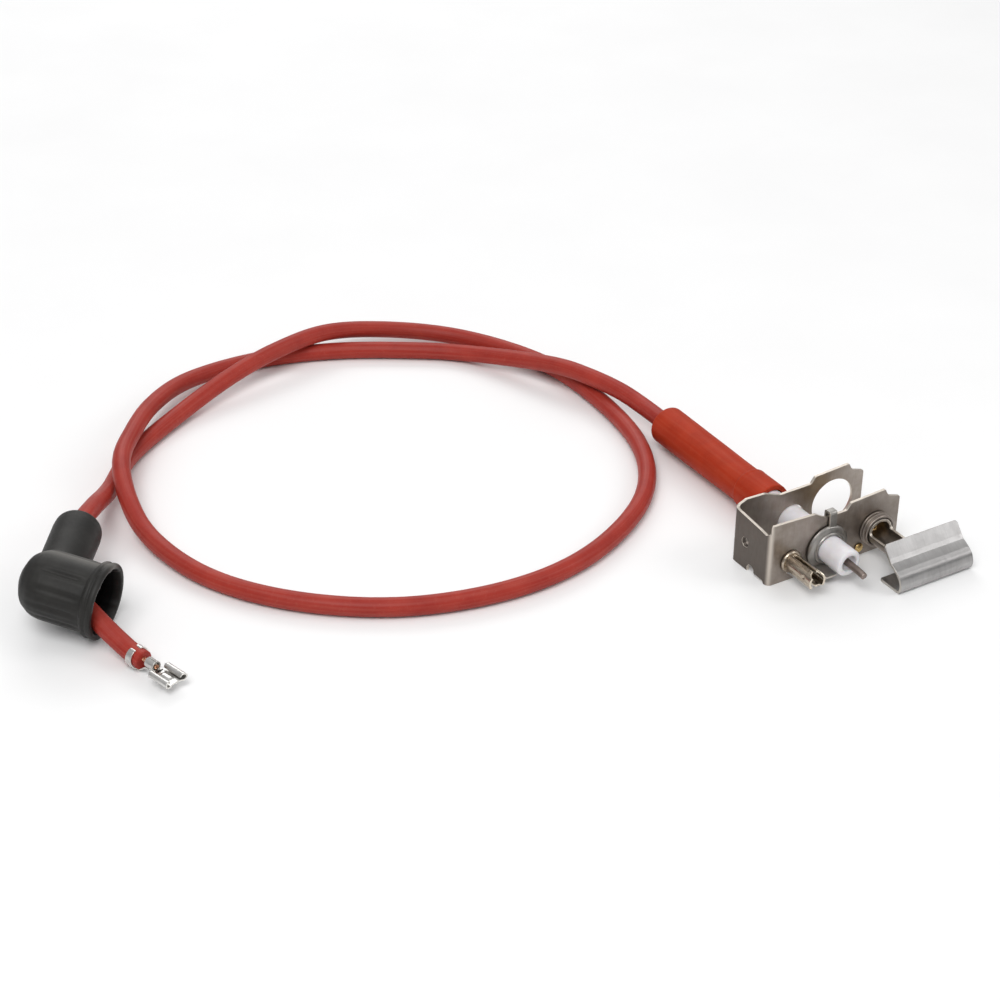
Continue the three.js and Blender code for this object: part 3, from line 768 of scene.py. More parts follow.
def add_thread_rim(bm):
    """The web's hole is drawn inwards and tapped."""
    pitch, crest, root = 0.5, 1.45, 1.68
    inside = []
    x = 0.15
    while x < 1.95:
        inside += [(crest, x, 0), (root, x + pitch / 2, 0)]
        x += pitch
    profile = [(1.72, 0.12, 0.05), (1.75, 0.85, 0), (2.75, 0.85, 0.3), (2.65, 2.05, 0.25),
               (1.7, 2.1, 0.1)]
    add_turned(bm, profile + [(r, t, 0) for r, t, _ in reversed(inside)],
               along_x(*TAPPED_HOLE), 0.1, 64)


def shade_folds(bm, corner):
    """Painted shade darkens the web against the plates; a painted highlight runs along the front bend."""
    painted_shade = bm.verts.layers.float.new("painted_shade")
    bend_highlight = bm.verts.layers.float.new("bend_highlight")
    web_face, fades_from, bend_reach = corner - 0.6, 0.4, corner + 0.5
    shine, shine_turn, shine_width = 0.75, 0.55, 0.22
    for vert in bm.verts:
        x, y, _ = (vert.co - CORNER) / MM
        # Painted shade over the web, fading in past the front bend.
        if x < web_face:
            vert[painted_shade] = min(1.0, max(0.0, (y - fades_from) / (corner - fades_from)))
        turn = atan2(corner - y, corner - x) / (pi / 2)
        # Painted highlight: a narrow band at one angle round the front bend.
        if x < bend_reach and y < bend_reach:
            vert[bend_highlight] = shine * exp(-((turn - shine_turn) / shine_width) ** 2)


def make_bracket():
    line = [(PLATE_WIDTH, FRONT_MIDDLE), (0.5, FRONT_MIDDLE), (0.5, BACK_MIDDLE),
            (PLATE_WIDTH, BACK_MIDDLE)]
    bend = Bend(line, BEND_MIDDLE, 12)
    corner = 0.5 + BEND_MIDDLE
    turned = BEND_MIDDLE * pi / 2
    web_start = PLATE_WIDTH - corner + turned
    back_start = web_start + (BACK_MIDDLE - FRONT_MIDDLE - 2 * BEND_MIDDLE) + turned

    def front(x):
        return PLATE_WIDTH - x

    def web(y):
        return web_start + y - corner

    def back(x):
        return back_start + x - corner

    ear = [(50, 17.2, 0.8), (45.6, 18.7, 0.8), (44.8, 19.6, 0.6), (43.8, 21.4, 0.5),
           (30.6, 20.6, 0.7), (29, 18.4, 1)]
    front_top = [*ear, (20.8, 18.4, 5), (16.8, 20.9, 1.5), (3, 21.4, 0.8)]
    back_top = [*ear, (17, 18.2, 2), (11, 20.5, 2), (4, 20.7, 1.5)]

    toe = [(front(17), 0, 0.3), (front(15.6), 2.4, 0.8)]
    toe += [(front(x), z, 0) for x, z in arc(*SENSOR, 3.3, -46.7, 226.7, 40)]
    toe += [(front(6.9), 3.6, 0.1), (front(7.2), 2.6, 0.3), (front(9.9), 0.4, 0.2),
            (front(10.3), 0, 0.1)]
    foot = [(web(2.2), 0, 0.3), (web(2.8), 0.9, 0.4), (web(7.2), 0.9, 0.3),
            (web(7.2), 1.8, 0.6), (web(8.2), 2.8, 0.8), (web(9.8), 2.8, 0.8),
            (web(10.6), 1.6, 0.6), (web(10.6), 0, 0.3)]
    web_top = [(web_start - 1.0, 18.4, 0.3), (web(2.4), 17.4, 1), (web(5), 17.8, 3),
               (web(15.9), 18.8, 3), (back_start - 1.0, 19.2, 0.3)]
    outline = [(front(50), 0.8, 0.5), (front(49.2), 0, 0.5), *toe, *foot,
               (back(49.2), 0, 0.5), (back(50), 0.8, 0.5)]
    outline += [(back(x), z, r) for x, z, r in back_top]
    outline += [(back_start - 0.3, 19.6, 0.6), *reversed(web_top),
                (web_start - 1.0, 21.4, 0.5)]
    outline += [(front(x), z, r) for x, z, r in reversed(front_top)]
    holes = [
        circle(front(ELECTRODE[0]), ELECTRODE[1], 4.35),
        circle(front(BURNER[0]), BURNER[1], 4.8),
        circle(front(PLATE_RIVET[0]), PLATE_RIVET[1], 1.3, 32),
        circle(web(TAPPED_HOLE[0]), TAPPED_HOLE[1], 1.7, 40),
        circle(back(ELECTRODE[0]), ELECTRODE[1], 5.1),
        circle(back(LARGE_HOLE[0]), LARGE_HOLE[1], 7.95, 96),
    ]

    def fold(s, w, off):
        x, y = bend.at(s, off)
        return place(x, y, w)

    bm = bmesh.new()
    add_sheet(bm, rounded(outline, 0.4), holes, SHEET, fold, (bend.marks[1:-1], ()))
    add_thread_rim(bm)
    shade_folds(bm, corner)
    finish_piece(bm, "bracket_sheet", "bracket_steel", "bracket", weighted=True)


make_bracket()

# ---- plain turned pieces ----

# Slot, CAD node, axis, corner radius, sides, and a profile of radius, place and own corner.
TURNED_PIECES = {
    "ceramic": ("white_ceramic", "ceramic_insulator", along_y(*ELECTRODE), 0.1, 96,
     [(1.45, -9.1), (2.5, -10.1, 0.3), (2.65, -11.55, 0.2), (3.4, -11.7, 0.35),
      (4.4, -11.3, 0.9), (4.4, -0.8, 0.2), (3.95, -0.5), (3.95, 2.1), (4.75, 2.1, 0.2),
      (4.75, 39, 0.6), (2.8, 39, 0.2), (2.8, 35), (1.45, 35)]),
    "burner_ring": ("bracket_steel", "burner_collar", along_y(*BURNER), 0.1, 96,
     [(4.8, -3.2), (5.3, -3.2, 0.2), (5.5, -3, 0.2), (5.5, -2.5, 0.15), (5.05, -2.3, 0.1),
      (5.05, -2, 0.1), (5.6, -1.8, 0.15), (5.6, -1.4, 0.15), (5.1, -1.2, 0.1),
      (5.1, -1, 0.1), (5.7, -0.8, 0.15), (5.7, -0.3, 0.1), (4.8, -0.3)]),
    "locknut": ("brass", "burner_locknut", along_y(*BURNER), 0.04, 144,
     [(4.8, 1.3, 0.1), (5.7, 1.3), (6.4, 1.75), (6.4, 4.85), (5.7, 5.3), (4.8, 5.3, 0.1)]),
    "gas_fitting": ("brass", "gas_inlet", along_y(*BURNER), 0.1, 96,
     [(1.9, 2), (3.3, 2, 0.2), (3.3, 6.9), (5.2, 6.9, 0.25), (5.2, 8.95, 0.4),
      (4.6, 9.3, 0.2), (2.3, 9.3, 0.2), (1.9, 8.7)]),
    "orifice": ("brass", "pilot_orifice", along_y(*BURNER), 0.05, 64,
     [(0.4, -0.6), (0.9, -0.6, 0.1), (1.6, 0.2, 0.1), (1.6, 6.6, 0.1), (0.9, 6.6), (0.9, 1),
      (0.4, 0.6)]),
    "front_rivet": ("brass", "plate_rivet", along_y(*PLATE_RIVET), 0.05, 48,
     [(0, -1.1), (0.8, -1.05, 0.5), (1.6, -0.45, 0.3), (1.6, -0.25, 0.05), (1, -0.25),
      (1, 1.3), (1.6, 1.3, 0.1), (1.45, 1.75, 0.2), (0, 1.9)]),
    "foot_rivet": ("spring_steel", "hood_rivet", along_z(BURNER[0], -18.5), 0.05, 48,
     [(0, 0.15), (0.6, 0.15, 0.1), (0.6, 2.6), (1.6, 2.6, 0.1), (1.4, 3.2, 0.4), (0, 3.5)]),
}


def turned_piece(name, shape=None, sharp=38):
    slot, node, axis, radius, sides, profile = TURNED_PIECES[name]
    bm = bmesh.new()
    add_turned(bm, profile, axis, radius, sides, shape)
    finish_piece(bm, name, slot, node, sharp=sharp)


# ---- electrode ----


def make_rod():
    x, z = ELECTRODE
    knots = [place(x, 46, z), place(x, 12, z), place(x, -10.7, z),
             place(x + 0.1, -15.6, z - 0.32), place(x + 0.2, -18.6, z - 0.7)]
    bm = bmesh.new()
    line = evenly(smooth_line(knots), 0.0005)
    radius, worn_points, tip_wear, unevenness = 1.15, 16, 0.05, 0.012
    worn_from = len(line) - worn_points

    def radius_at(i):
        wear = tip_wear * max(0, i - worn_from) / worn_points
        return radius - wear + unevenness * noise.noise(Vector((i * 0.31, 0.4, 2.2)))

    add_tube(bm, line, radius_at, 32, 0.25)
    finish_piece(bm, "rod", "heat_resisting_wire", "electrode_rod")


def make_retaining_clip():
    """Domed washer on the nose, a strap hooked over the plate, a tongue bent forward."""
    middle_y, thickness = -0.75, 0.7
    tongue_z, hook_z = 2.7, 20.0
    x, z = ELECTRODE
    strap = Bend([(middle_y, 0), (middle_y, hook_z), (1.7, hook_z), (1.7, 17.2)], 0.6)
    tongue = Bend([(middle_y, 8), (middle_y, tongue_z), (-8.6, tongue_z)], 0.8)
    left, right = 21.7, 24.4
    bm = bmesh.new()
    end = strap.marks[-1]
    blank = [(left, z + 5.2), (left, end, 0.5), (right, end, 0.5), (right, z + 7, 2),
             (right + 1.6, z + 4.6)]
    add_sheet(bm, rounded(blank, 0.2), [], thickness, fold_along_w(strap),
              ((), strap.marks[1:-1]), 0.14)
    tip = tongue.marks[-1]
    blank = [(16.4, 0.9), (15.6, 4.2, 1), (15.6, tip, 0.8), (20.2, tip, 0.8),
             (20.2, 4.6, 0.5), (21.6, 3.0, 0.5), (21.6, 2.2)]
    add_sheet(bm, rounded(blank, 0.2), [], thickness, fold_along_w(tongue),
              ((), tongue.marks[1:-1]), 0.14)
    washer = [(4.6, -0.35), (4.6, -2, 0.1), (5.15, -2.1, 0.2), (5.5, -1.5, 0.15),
              (5.85, -1.75, 0.2), (7.1, -1.3, 0.5), (7.6, -0.8, 0.3), (7.6, -0.35, 0.1)]
    add_turned(bm, washer, along_y(x, z), 0.1, 96)
    finish_piece(bm, "retaining_clip", "spring_steel", "ceramic_retaining_clip", weighted=True)


turned_piece("ceramic")
make_rod()
make_retaining_clip()

# ---- sleeve ----


def make_sleeve():
    """Fat where it is stretched over the ceramic, slim along the lead, rolled rear end."""
    x, z = ELECTRODE
    outer = [(5.1, 28, 0.25), (6.65, 28, 0.4)]
    outer += [(6.75, y) for y in frange(28.6, 38.4, 0.4)]
    outer += [(6.8, 38.8), (6.82, 39.3), (6.7, 39.7), (6.4, 40.0), (6.24, 40.3), (6.2, 40.8)]
    outer += [(6.2 + 0.45 * (y - 41) / 44, y) for y in frange(41.4, 85, 0.5)]
    outer += [(6.68, 87.2, 1.6), (3.5, 87.2, 0.5), (3.45, 75.2, 0.3), (5.1, 73.2, 0.3)]
    bore_limit, wave_length, wave_height = 5.6, 9, 0.05
    bm = bmesh.new()

    def shape(r, t, angle):
        if r < bore_limit:
            return r
        spot = Vector((cos(angle) * 1.3, sin(angle) * 1.3, t / wave_length))
        return r + wave_height * noise.noise(spot) - 0.02

    add_turned(bm, outer, along_y(x, z), 0.3, shape=shape)
    axis = place(x, 0, z)

    def on_sleeve(vert):
        off = vert.co - axis
        return vert.co.y, atan2(off.z, off.x) / (2 * pi) + 0.5

    map_tube(bm, on_sleeve)
    finish_piece(bm, "sleeve", "sleeve_silicone", "insulating_sleeve", body=SLEEVE_BODY)


make_sleeve()

# ---- burner ----


def around_y(axis, radius):
    """Wraps a sheet into a tube along y: s runs round it from the bottom, w along it."""
    def fold(s, w, off):
        angle = s / radius
        reach = radius + off
        return place(axis[0] + reach * sin(angle), w, axis[1] - reach * cos(angle))
    return fold


def make_burner():
    radius, wall = 4.05, 0.9
    half_turn = pi * radius
    trough = (pi / 2 + 0.05) * radius
    front, mouth, rear = -16.5, -3.4, 6.6
    outline = [(-half_turn, rear), (half_turn, rear), (half_turn, mouth), (trough, mouth, 1.2),
               (trough, front, 0.8), (-trough, front, 0.8), (-trough, mouth, 1.2),
               (-half_turn, mouth)]
    bm = bmesh.new()
    add_sheet(bm, rounded(outline, 0), [], wall, around_y(BURNER, radius),
              (frange(-half_turn, half_turn, 0.3)[1:-1], ()), 0.14)
    foot = Bend([(-12.2, 4.05), (-15.9, 4.05), (-16.6, 1.85), (-20.4, 1.85)], 0.7)
    width, thickness = 2.6, 0.85
    tab = [(0, BURNER[0] - width), (foot.marks[-1], BURNER[0] - width, 0.8),
           (foot.marks[-1], BURNER[0] + width, 0.8), (0, BURNER[0] + width)]
    hole_at = foot.marks[-1] - 1.9
    add_sheet(bm, rounded(tab, 0), [circle(hole_at, BURNER[0], 0.9, 32)], thickness,
              fold_along_s(foot), (foot.marks[1:-1], ()))
    finish_piece(bm, "burner", "bracket_steel", "burner_tube", weighted=True)


def hexagon(r, _, angle):
    """The locknut's flats, which the cones of its profile cut off at both faces."""
    across_corners, bore_limit = 12.8, 5
    if r < bore_limit:
        return r
    folded = angle % (pi / 3) - pi / 6
    return min(across_corners / 2 * cos(pi / 6) / cos(folded), r)


def make_hood():
    """Strip with a flat upper face, a crease, a rolled lower edge and a return flange."""
    line = [(-14.6, 13), (-17.6, 9.4, 3), (-18.7, 8.2, 1), (-21.4, 6.75, 3), (-23.2, 5.5, 3),
            (-24.1, 2.9, 2), (-23.6, 0.5, 1.3), (-14.6, 0.5)]
    bend = Bend(line, 1.2, 10)
    left, right, thickness = 32, 60.6, 0.9
    length = bend.marks[-1]
    outline = [(0, left, 1.2), (0, right, 1.2), (length, right, 0.8), (length, left, 0.8)]
    hole_at = length - (-14.6 + 18.5)
    bm = bmesh.new()
    add_sheet(bm, rounded(outline, 0), [circle(hole_at, BURNER[0], 0.9, 32)], thickness,
              fold_along_s(bend), (bend.marks[1:-1], ()), 0.16)
    # Painted shade: a dark band along the crease, where the strip turns away from the light.
    crease_z, dark_width, most = 6.3, 1.3, 0.6
    painted_shade = bm.verts.layers.float.new("painted_shade")
    for vert in bm.verts:
        vert[painted_shade] = most * exp(-((vert.co.z / MM - crease_z) / dark_width) ** 2)
    finish_piece(bm, "hood", "galvanised_sheet", "flame_hood", weighted=True)


make_burner()
turned_piece("burner_ring")
turned_piece("locknut", hexagon, sharp=25)
turned_piece("gas_fitting")
turned_piece("orifice")
make_hood()
turned_piece("front_rivet")
turned_piece("foot_rivet")

# ---- sensor clip ----


def make_sensor_clip():
    """Split spring sleeve: slots along its top and bottom leave two arms."""
    radius, wall = 2.6, 0.78
    tip, root, rear, gap = -13.6, -2.0, 5.0, 0.55
    half_turn = pi * radius
    flare = [(2.2, tip), (2.05, tip + 0.6), (1.7, tip + 1.1), (1.2, tip + 1.5),
             (gap, tip + 1.75)]
    right_top = [(half_turn - s, w) for s, w in reversed(flare)]
    outline = [(-half_turn, rear), (half_turn, rear), (half_turn, root),
               (half_turn - gap, root, 0.3), *right_top, *flare, (gap, root, 0.5),
               (-gap, root, 0.5), *[(-s, w) for s, w in reversed(flare)],
               *[(-s, w) for s, w in reversed(right_top)], (-half_turn + gap, root, 0.3),
               (-half_turn, root)]
    wrap = around_y(SENSOR, radius)
    flat_from, flat_to = tip + 0.1, tip + 2.9
    dimple_s, dimple_y = -(pi / 2 + 0.2) * radius, tip + 3.4

    def fold(s, w, off):
        """Arms spread a little towards the tip, where the left one is pressed flat."""
        away = hypot(s - dimple_s, w - dimple_y)
        spread = 0.12 * max(0.0, (root - w) / (root - tip)) ** 2
        turn = abs(s) / radius - pi / 2
        flattened = 0.0
        if flat_from < w < flat_to and abs(turn) < 1.2:
            flattened = 0.22 * (1 / max(cos(turn * 0.8), 0.6) - 1)
        return wrap(s, w, off - 0.4 * exp(-(away / 0.5) ** 2) + spread + flattened)

    bm = bmesh.new()
    cuts = (frange(-half_turn, half_turn, 0.2)[1:-1], frange(tip + 1.9, tip + 5, 0.2))
    add_sheet(bm, rounded(outline, 0.1), [], wall, fold, cuts, 0.14)
    shoulder = [(2.9, -0.3), (2.9, -1.25), (3.45, -1.25, 0.2), (3.75, -0.8, 0.25),
                (3.75, -0.3, 0.1)]
    add_turned(bm, shoulder, along_y(*SENSOR), 0.05, 72)
    finish_piece(bm, "spring_sleeve", "spring_nickel", "sensor_clip", weighted=True)


make_sensor_clip()

# ---- angled boot ----


def heading(turn, climb):
    """A unit vector by its turn from +X about +Z and its climb above level, in degrees."""
    turn, climb = radians(turn), radians(climb)
    return Vector((cos(climb) * cos(turn), cos(climb) * sin(turn),
                   sin(climb)))


# The boot lies out along the lead: its centre is in frame coordinates, not the bracket's.
BOOT_CENTRE = Vector((-224, 59.1, 14.1)) * MM
BOOT_MOUTH = heading(-47.2, -8)
BOOT_NECK = heading(54.8, 3)
BOOT_VOXEL = 0.29


def boot_axis(ahead):
    """A turned shape about the line that leaves the boot's centre ahead; angle 90 is up."""
    side = UP.cross(ahead).normalized()
    up = ahead.cross(side)

    def axis(r, t, a):
        return BOOT_CENTRE + (ahead * t + side * r * cos(a) + up * r * sin(a)) * MM
    return axis


def turned_mesh(profile, axis, radius, sides, shape=None):
    bm = bmesh.new()
    add_turned(bm, profile, axis, radius, sides, shape)
    bmesh.ops.remove_doubles(bm, verts=bm.verts, dist=1e-6)
    bmesh.ops.dissolve_degenerate(bm, edges=bm.edges, dist=1e-7)
    bmesh.ops.recalc_face_normals(bm, faces=bm.faces)
    mesh = bpy.data.meshes.new("turned")
    bm.to_mesh(mesh)
    bm.free()
    return add_object("turned", mesh)


def shade_boot(bm):
    """Painted shade, near black, inside the mouth; a painted highlight along the top of the barrel."""
    inner_shade = bm.verts.layers.float.new("inner_shade")
    top_highlight = bm.verts.layers.float.new("top_highlight")
    side = UP.cross(BOOT_MOUTH).normalized()
    up = BOOT_MOUTH.cross(side)
    top_highlight_turn, top_highlight_width = 68, 14
    for vert in bm.verts:
        off = (vert.co - BOOT_CENTRE) / MM
        ahead = off.dot(BOOT_MOUTH)
        around = off - BOOT_MOUTH * ahead
        inner_radius = 9.4 if ahead < 13 else 10.3
        if around.length < inner_radius:
            # Painted shade, darkest deep inside the mouth.
            vert[inner_shade] = min(1.0, max(0.0, (16.2 - ahead) / 2)) * (ahead > -3)
        elif around.length < 12 and ahead > -8:
            # Painted highlight along the top of the barrel.
            turn = degrees(atan2(around.dot(up), around.dot(side)))
            vert[top_highlight] = exp(-((turn - top_highlight_turn) / top_highlight_width) ** 2)


def make_boot():
    creases = [(radians(turn), depth) for turn, depth in (
        (62, 0.5), (118, 0.62), (150, 0.3), (178, 0.4), (205, 0.3), (235, 0.35),
        (270, 0.3), (300, 0.3), (330, 0.3), (0, 0.3), (30, 0.3))]
    rear, front, core = -6, 12.9, 7
    width, ridge_height, ridge_offset = 0.7, 0.16, 1.5
    ribs, rib_depth = 9, 0.32

    def away(angle, other, r):
        return abs((angle - other + pi) % (2 * pi) - pi) * r

    def creased(r, t, angle):
        """Creases along the barrel with a faint ridge beside each, fading at both ends."""
        if not rear < t < front or r < core:
            return r
        fade = max(0.0, min(1, (t - rear) / 8, (front - t) / 3))
        dip = max(depth * exp(-(away(angle, crease, r) / width) ** 2)
                  for crease, depth in creases)
        ridge = max(exp(-((away(angle, crease, r) - ridge_offset) / width) ** 2)
                    for crease, _ in creases) * ridge_height
        return r + (ridge - dip) * fade

    def ribbed(r, t, angle):
        if t < -2 or r < core:
            return r
        return r - rib_depth * max(0.0, cos(ribs * angle)) ** 3

    barrel = turned_mesh(
        [(0, -9.9), (4.2, -9.6, 3), (7.9, -7.7, 4), (10.1, -4.3, 5),
         *[(10.5, t) for t in frange(-1.5, 12.3, 0.5)], (10.55, 12.9, 0.3),
         (11.6, 13.2, 0.5), (11.8, 14.3, 0.5), (11.05, 14.85, 0.25), (11.8, 15.3, 0.5),
         (11.8, 16.9, 0.7), (0, 16.9)], boot_axis(BOOT_MOUTH), 0.3, 180, creased)
    neck = turned_mesh([(0, 0), (7.35, 0), (7.55, 26, 4), (7.3, 29, 2.5), (5.4, 31, 1.8),
                        (3.9, 31.3, 0.4), (0, 31.3)], boot_axis(BOOT_NECK), 0.3, 128)
    chamber = turned_mesh([(0, -7.6), (4.4, -7.1, 3), (7.6, -3.5, 3),
                           *[(8.7, t) for t in frange(-1, 12, 0.6)], (9.0, 13.2, 1),
                           (9.7, 14.8, 1), (10.1, 16.6, 0.3), (10.7, 17.8), (0, 17.8)],
                          boot_axis(BOOT_MOUTH), 0.2, 180, ribbed)
    bore = turned_mesh([(0, -1), (6.2, -1), (6.2, 11, 1), (4.6, 16, 1), (3.5, 19, 0.5),
                        (3.5, 30.3, 0.5), (4.2, 31.6), (0, 31.6)],
                       boot_axis(BOOT_NECK), 0.2, 96)
    for other, action in ((neck, "UNION"), (chamber, "DIFFERENCE"), (bore, "DIFFERENCE")):
        joining = barrel.modifiers.new(action, "BOOLEAN")
        joining.operation = action
        joining.object = other
        joining.solver = "EXACT"
    fusing = barrel.modifiers.new("fuse", "REMESH")
    fusing.mode = "VOXEL"
    fusing.voxel_size = BOOT_VOXEL * MM
    softening = barrel.modifiers.new("soften", "SMOOTH")
    softening.factor = 0.5
    softening.iterations = 3
    graph = bpy.context.evaluated_depsgraph_get()
    moulded = bpy.data.meshes.new_from_object(barrel.evaluated_get(graph))
    for tool in (barrel, neck, chamber, bore):
        bpy.data.objects.remove(tool)
    bm = bmesh.new()
    bm.from_mesh(moulded)
    bpy.data.meshes.remove(moulded)
    shade_boot(bm)
    return finish_piece(bm, "boot_moulding", "boot_rubber", "angle_boot", body=BOOT_BODY,
                        sharp=60, weld=False)


boot = make_boot()

# ---- push-on terminal ----

LEAD_END = Vector(LEAD_ROUTE[-1])
LEAD_HEADING = (LEAD_LINE[-1] - LEAD_LINE[-2]).normalized()
TERMINAL_TURN = Matrix.Rotation(atan2(LEAD_HEADING.y, LEAD_HEADING.x), 3, "Z")
TERMINAL_SHEET = 0.45
CONDUCTOR_RISE = 0.85


def on_terminal(x, y, z):
    """Terminal coordinates in millimetres: x ahead of the jacket's end, z up."""
    return LEAD_END + TERMINAL_TURN @ Vector((x, y, z)) * MM


def mirrored(half):
    """A section symmetrical about y = 0 from its right half, which starts on that line."""
    return [(-y, z) for y, z in reversed(half)] + half[1:]


def add_cross_formed(bm, section, outline, cuts_along=(), lift=None):
    """A sheet whose cross-section is the section line, in y and z, centred on y = 0."""
    bend = Bend(section, 0)
    middle = bend.marks[-1] / 2

    def fold(s, w, off):
        y, z = bend.at(s + middle, off)
        raised = lift(w, s) if lift else 0.0
        return on_terminal(w, y, z + raised)

    add_sheet(bm, outline, [], TERMINAL_SHEET, fold,
              ([m - middle for m in bend.marks[1:-1]], cuts_along), 0.1)


def make_terminal():
    bm = bmesh.new()
    floor_z, rail_y, rail_z, rail_r = -0.6, 2.85, 0.27, 0.87
    right = arc(rail_y, rail_z, rail_r, -90, 195, 20)
    flat = [(y, floor_z) for y in frange(-rail_y, rail_y, 0.25)]
    section = [(-y, z) for y, z in reversed(right)] + flat[1:-1] + right
    half = Bend(section, 0).marks[-1] / 2
    edge_x, tip_x, rear_x = 14.2, 14.85, 6.4
    blank = [(-half, rear_x + 0.5, 0.3), (-half, edge_x, 0.5), (-half + 2.4, tip_x, 0.6),
             (-2.2, tip_x, 0.4), (-1.4, tip_x - 0.5, 0.4), (1.4, tip_x - 0.5, 0.4),
             (2.2, tip_x, 0.4), (half - 2.4, tip_x, 0.6), (half, edge_x, 0.5),
             (half, rear_x + 0.5, 0.3), (1.6, rear_x, 0.5), (-1.6, rear_x, 0.5)]

    def tongue_bump(x, s):
        along = max(0.0, 1 - abs((x - 10.2) / 2.2) ** 6)
        across = max(0.0, 1 - abs(s / 0.95) ** 4)
        return 0.32 * along * across

    add_cross_formed(bm, section, rounded(blank, 0.2), frange(7.6, 13, 0.2), tongue_bump)
    neck = [(-1.5, floor_z), (1.5, floor_z)]
    add_cross_formed(bm, neck, [(-1.5, 5.2), (1.5, 5.2), (1.6, 7.2), (-1.6, 7.2)])
    crimp_r = 1.4
    crimp_z = floor_z + crimp_r
    wing = arc(0, crimp_z, crimp_r, -90, 78, 18)
    dip = [(0.13, crimp_z + 0.95), (0.13, crimp_z + 0.45)]
    section = mirrored(wing + dip)
    half = Bend(section, 0).marks[-1] / 2
    crimp = [(-half, 2.2, 0.4), (-half, 5.8, 0.4), (half, 5.8, 0.4), (half, 2.2, 0.4)]
    add_cross_formed(bm, section, rounded(crimp, 0.2), frange(2.6, 5.4, 0.4))
    add_insulation_crimp(bm)
    return finish_piece(bm, "terminal", "tin_plate", "push_on_terminal", weighted=True)


def add_insulation_crimp(bm):
    """Two wings wrap the jacket behind its end; a web slopes from them up to the neck."""
    radius = LEAD_RADIUS + 0.02 + TERMINAL_SHEET / 2
    wing = arc(0, 0, radius, -90, 62, 24)
    wing += [(wing[-1][0] - 0.5, wing[-1][1] - 0.02), (wing[-1][0] - 0.85, wing[-1][1] - 0.4)]
    section = mirrored(wing)
    half = Bend(section, 0).marks[-1] / 2
    x0, x1 = -JACKET_CRIMP[1], -JACKET_CRIMP[0]
    wings = [(-half, x0 + 0.5, 0.6), (-half, x1 - 0.4, 0.6), (-2, x1, 0.8), (2, x1, 0.8),
             (half, x1 - 0.4, 0.6), (half, x0 + 0.5, 0.6), (2, x0, 0.8), (-2, x0, 0.8)]
    add_cross_formed(bm, section, rounded(wings, 0.2), frange(x0 + 0.6, x1 - 0.6, 0.4))
    slope = Bend([(x1 - 1.2, -radius), (x1 + 0.5, -radius), (2.1, -0.62), (3.4, -0.62)], 0.8)
    strip = [(0, -1.5), (slope.marks[-1], -1.4), (slope.marks[-1], 1.4), (0, 1.5)]

    def fold(s, w, off):
        x, z = slope.at(s, off)
        return on_terminal(x, w, z)

    add_sheet(bm, strip, [], TERMINAL_SHEET, fold, (slope.marks[1:-1], ()), 0.1)


def make_strands():
    """Seven twisted strands from the jacket's end through the wire crimp."""
    bm = bmesh.new()
    strand, turns = 0.26, 0.8
    for k in range(7):
        reach = 0.0 if k == 6 else 2 * strand
        line = []
        for i in range(41):
            x = -0.6 + i * (6.5 + 0.12 * (k % 3)) / 40
            angle = k * pi / 3 + turns * x
            line.append(on_terminal(x, reach * cos(angle),
                                    CONDUCTOR_RISE - 0.05 + reach * sin(angle)))
        add_tube(bm, line, lambda i: strand, 12, 0.06)
    return finish_piece(bm, "strands", "copper_strand", "terminal_conductor")


terminal = make_terminal()
strands = make_strands()

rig.cord(lead, exit=LEAD_ROUTE[0], length=LEAD_LENGTH, diameter=2 * LEAD_RADIUS * MM,
        far_end="connector", stiffness="medium", lay="loose",
        path=[tuple(p) for p in LEAD_LINE[::2]] + [tuple(LEAD_LINE[-1])],
        with_pieces=[boot, terminal, strands])

# ---- inner pieces that stay as the CAD made them ----

KEPT_NODES = ("ceramic_washer", "rod_cement", "splice_ferrule", "splice_conductor")
slots = {row["node"]: row["material_slot"] for row in frame["record"]["subparts"]}
for node in KEPT_NODES:
    kept = frame["nodes"][node].data
    kept.materials.clear()
    kept.materials.append(LOOKS[slots[node]])

# ---- floor and light ----


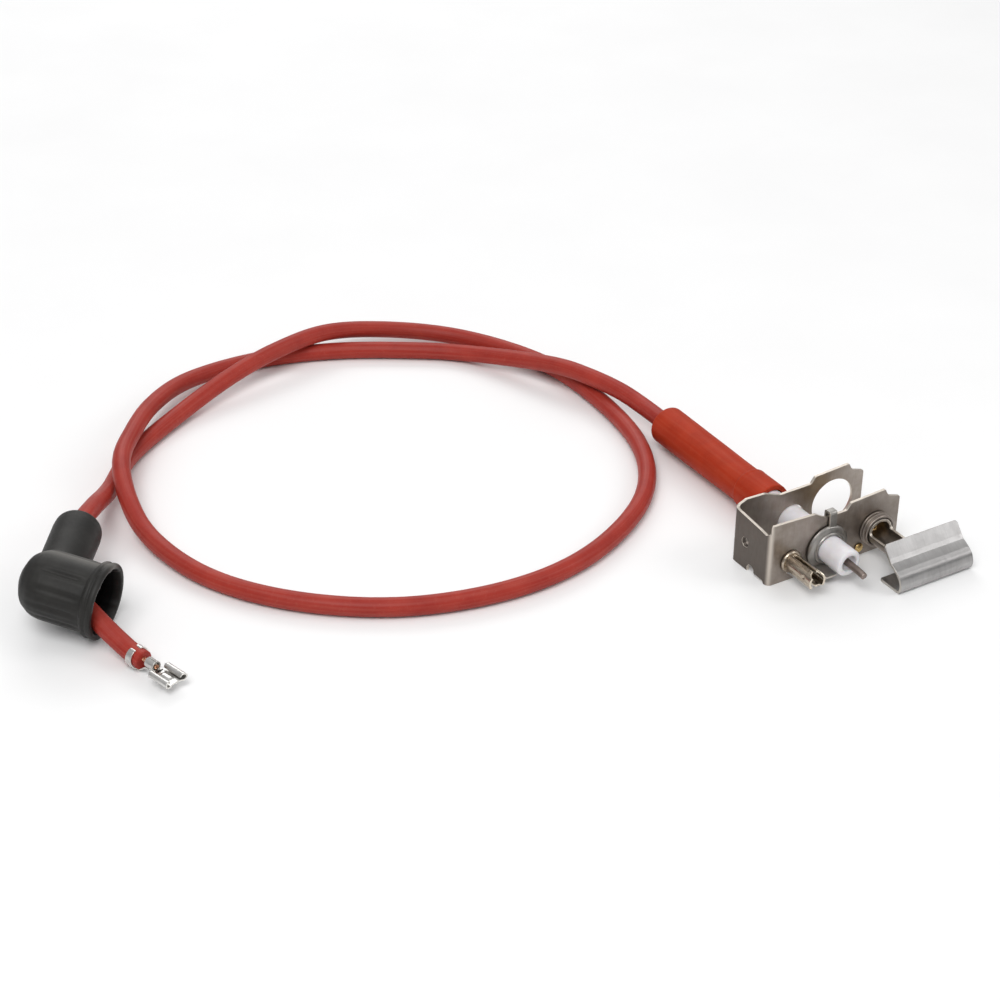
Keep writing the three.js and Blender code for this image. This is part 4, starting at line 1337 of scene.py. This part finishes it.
def make_stage():
    size = 3.0
    mesh = bpy.data.meshes.new("floor")
    mesh.from_pydata([(-size, -size, 0), (size, -size, 0), (size, size, 0), (-size, size, 0)],
                     [], [(0, 1, 2, 3)])
    floor = add_object("floor", mesh)
    look = Look("floor_paint")
    tone = look.noise(60, 3, 0.5)
    look.colour(look.ramp(tone, [(0.3, (0.9, 0.9, 0.9)), (0.7, (0.92, 0.92, 0.92))]))
    look.rough(0.9)
    mesh.materials.append(look.material)
    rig.stage(floor)


def make_world():
    """A bright studio: white overhead, greyer towards the horizon."""
    world = bpy.data.worlds.new("studio")
    bpy.context.scene.world = world
    world.use_nodes = True
    tree = world.node_tree
    coords = tree.nodes.new("ShaderNodeTexCoord")
    split = tree.nodes.new("ShaderNodeSeparateXYZ")
    ramp = tree.nodes.new("ShaderNodeValToRGB")
    tree.links.new(coords.outputs["Generated"], split.inputs["Vector"])
    tree.links.new(split.outputs["Z"], ramp.inputs["Fac"])
    horizon, overhead = ramp.color_ramp.elements
    horizon.position = 0.0
    horizon.color = (0.42, 0.42, 0.43, 1)
    overhead.position = 0.75
    overhead.color = (1.0, 1.0, 1.0, 1)
    background = tree.nodes["Background"]
    tree.links.new(ramp.outputs["Color"], background.inputs["Color"])
    background.inputs["Strength"].default_value = 0.62


def area_light(name, spot, target, size, power):
    data = bpy.data.lights.new(name, "AREA")
    data.shape = "RECTANGLE"
    data.size, data.size_y = size
    data.energy = power
    lamp = add_object(name, data)
    lamp.location = spot
    aim = Vector(target) - Vector(spot)
    lamp.rotation_euler = aim.to_track_quat("-Z", "Y").to_euler()


# Places and sizes of the lights in metres in the frame, powers in watts.
STAGE_MIDDLE = (-0.09, 0.05, 0)
make_stage()
make_world()
area_light("key", (-0.55, -0.35, 0.95), STAGE_MIDDLE, (0.6, 0.6), 6)
area_light("fill", (0.75, -0.55, 0.7), STAGE_MIDDLE, (0.5, 0.5), 2.2)
area_light("rim_highlight", (0.25, 0.95, 0.7), STAGE_MIDDLE, (0.9, 0.4), 3.5)
bpy.context.scene.view_settings.view_transform = "Standard"

# ---- sizes ----

visual_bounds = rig.bounds()
with open("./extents.json", "w") as handle:
    json.dump({"cad": [list(corner) for corner in cad_bounds],
               "visual": [list(corner) for corner in visual_bounds]}, handle)
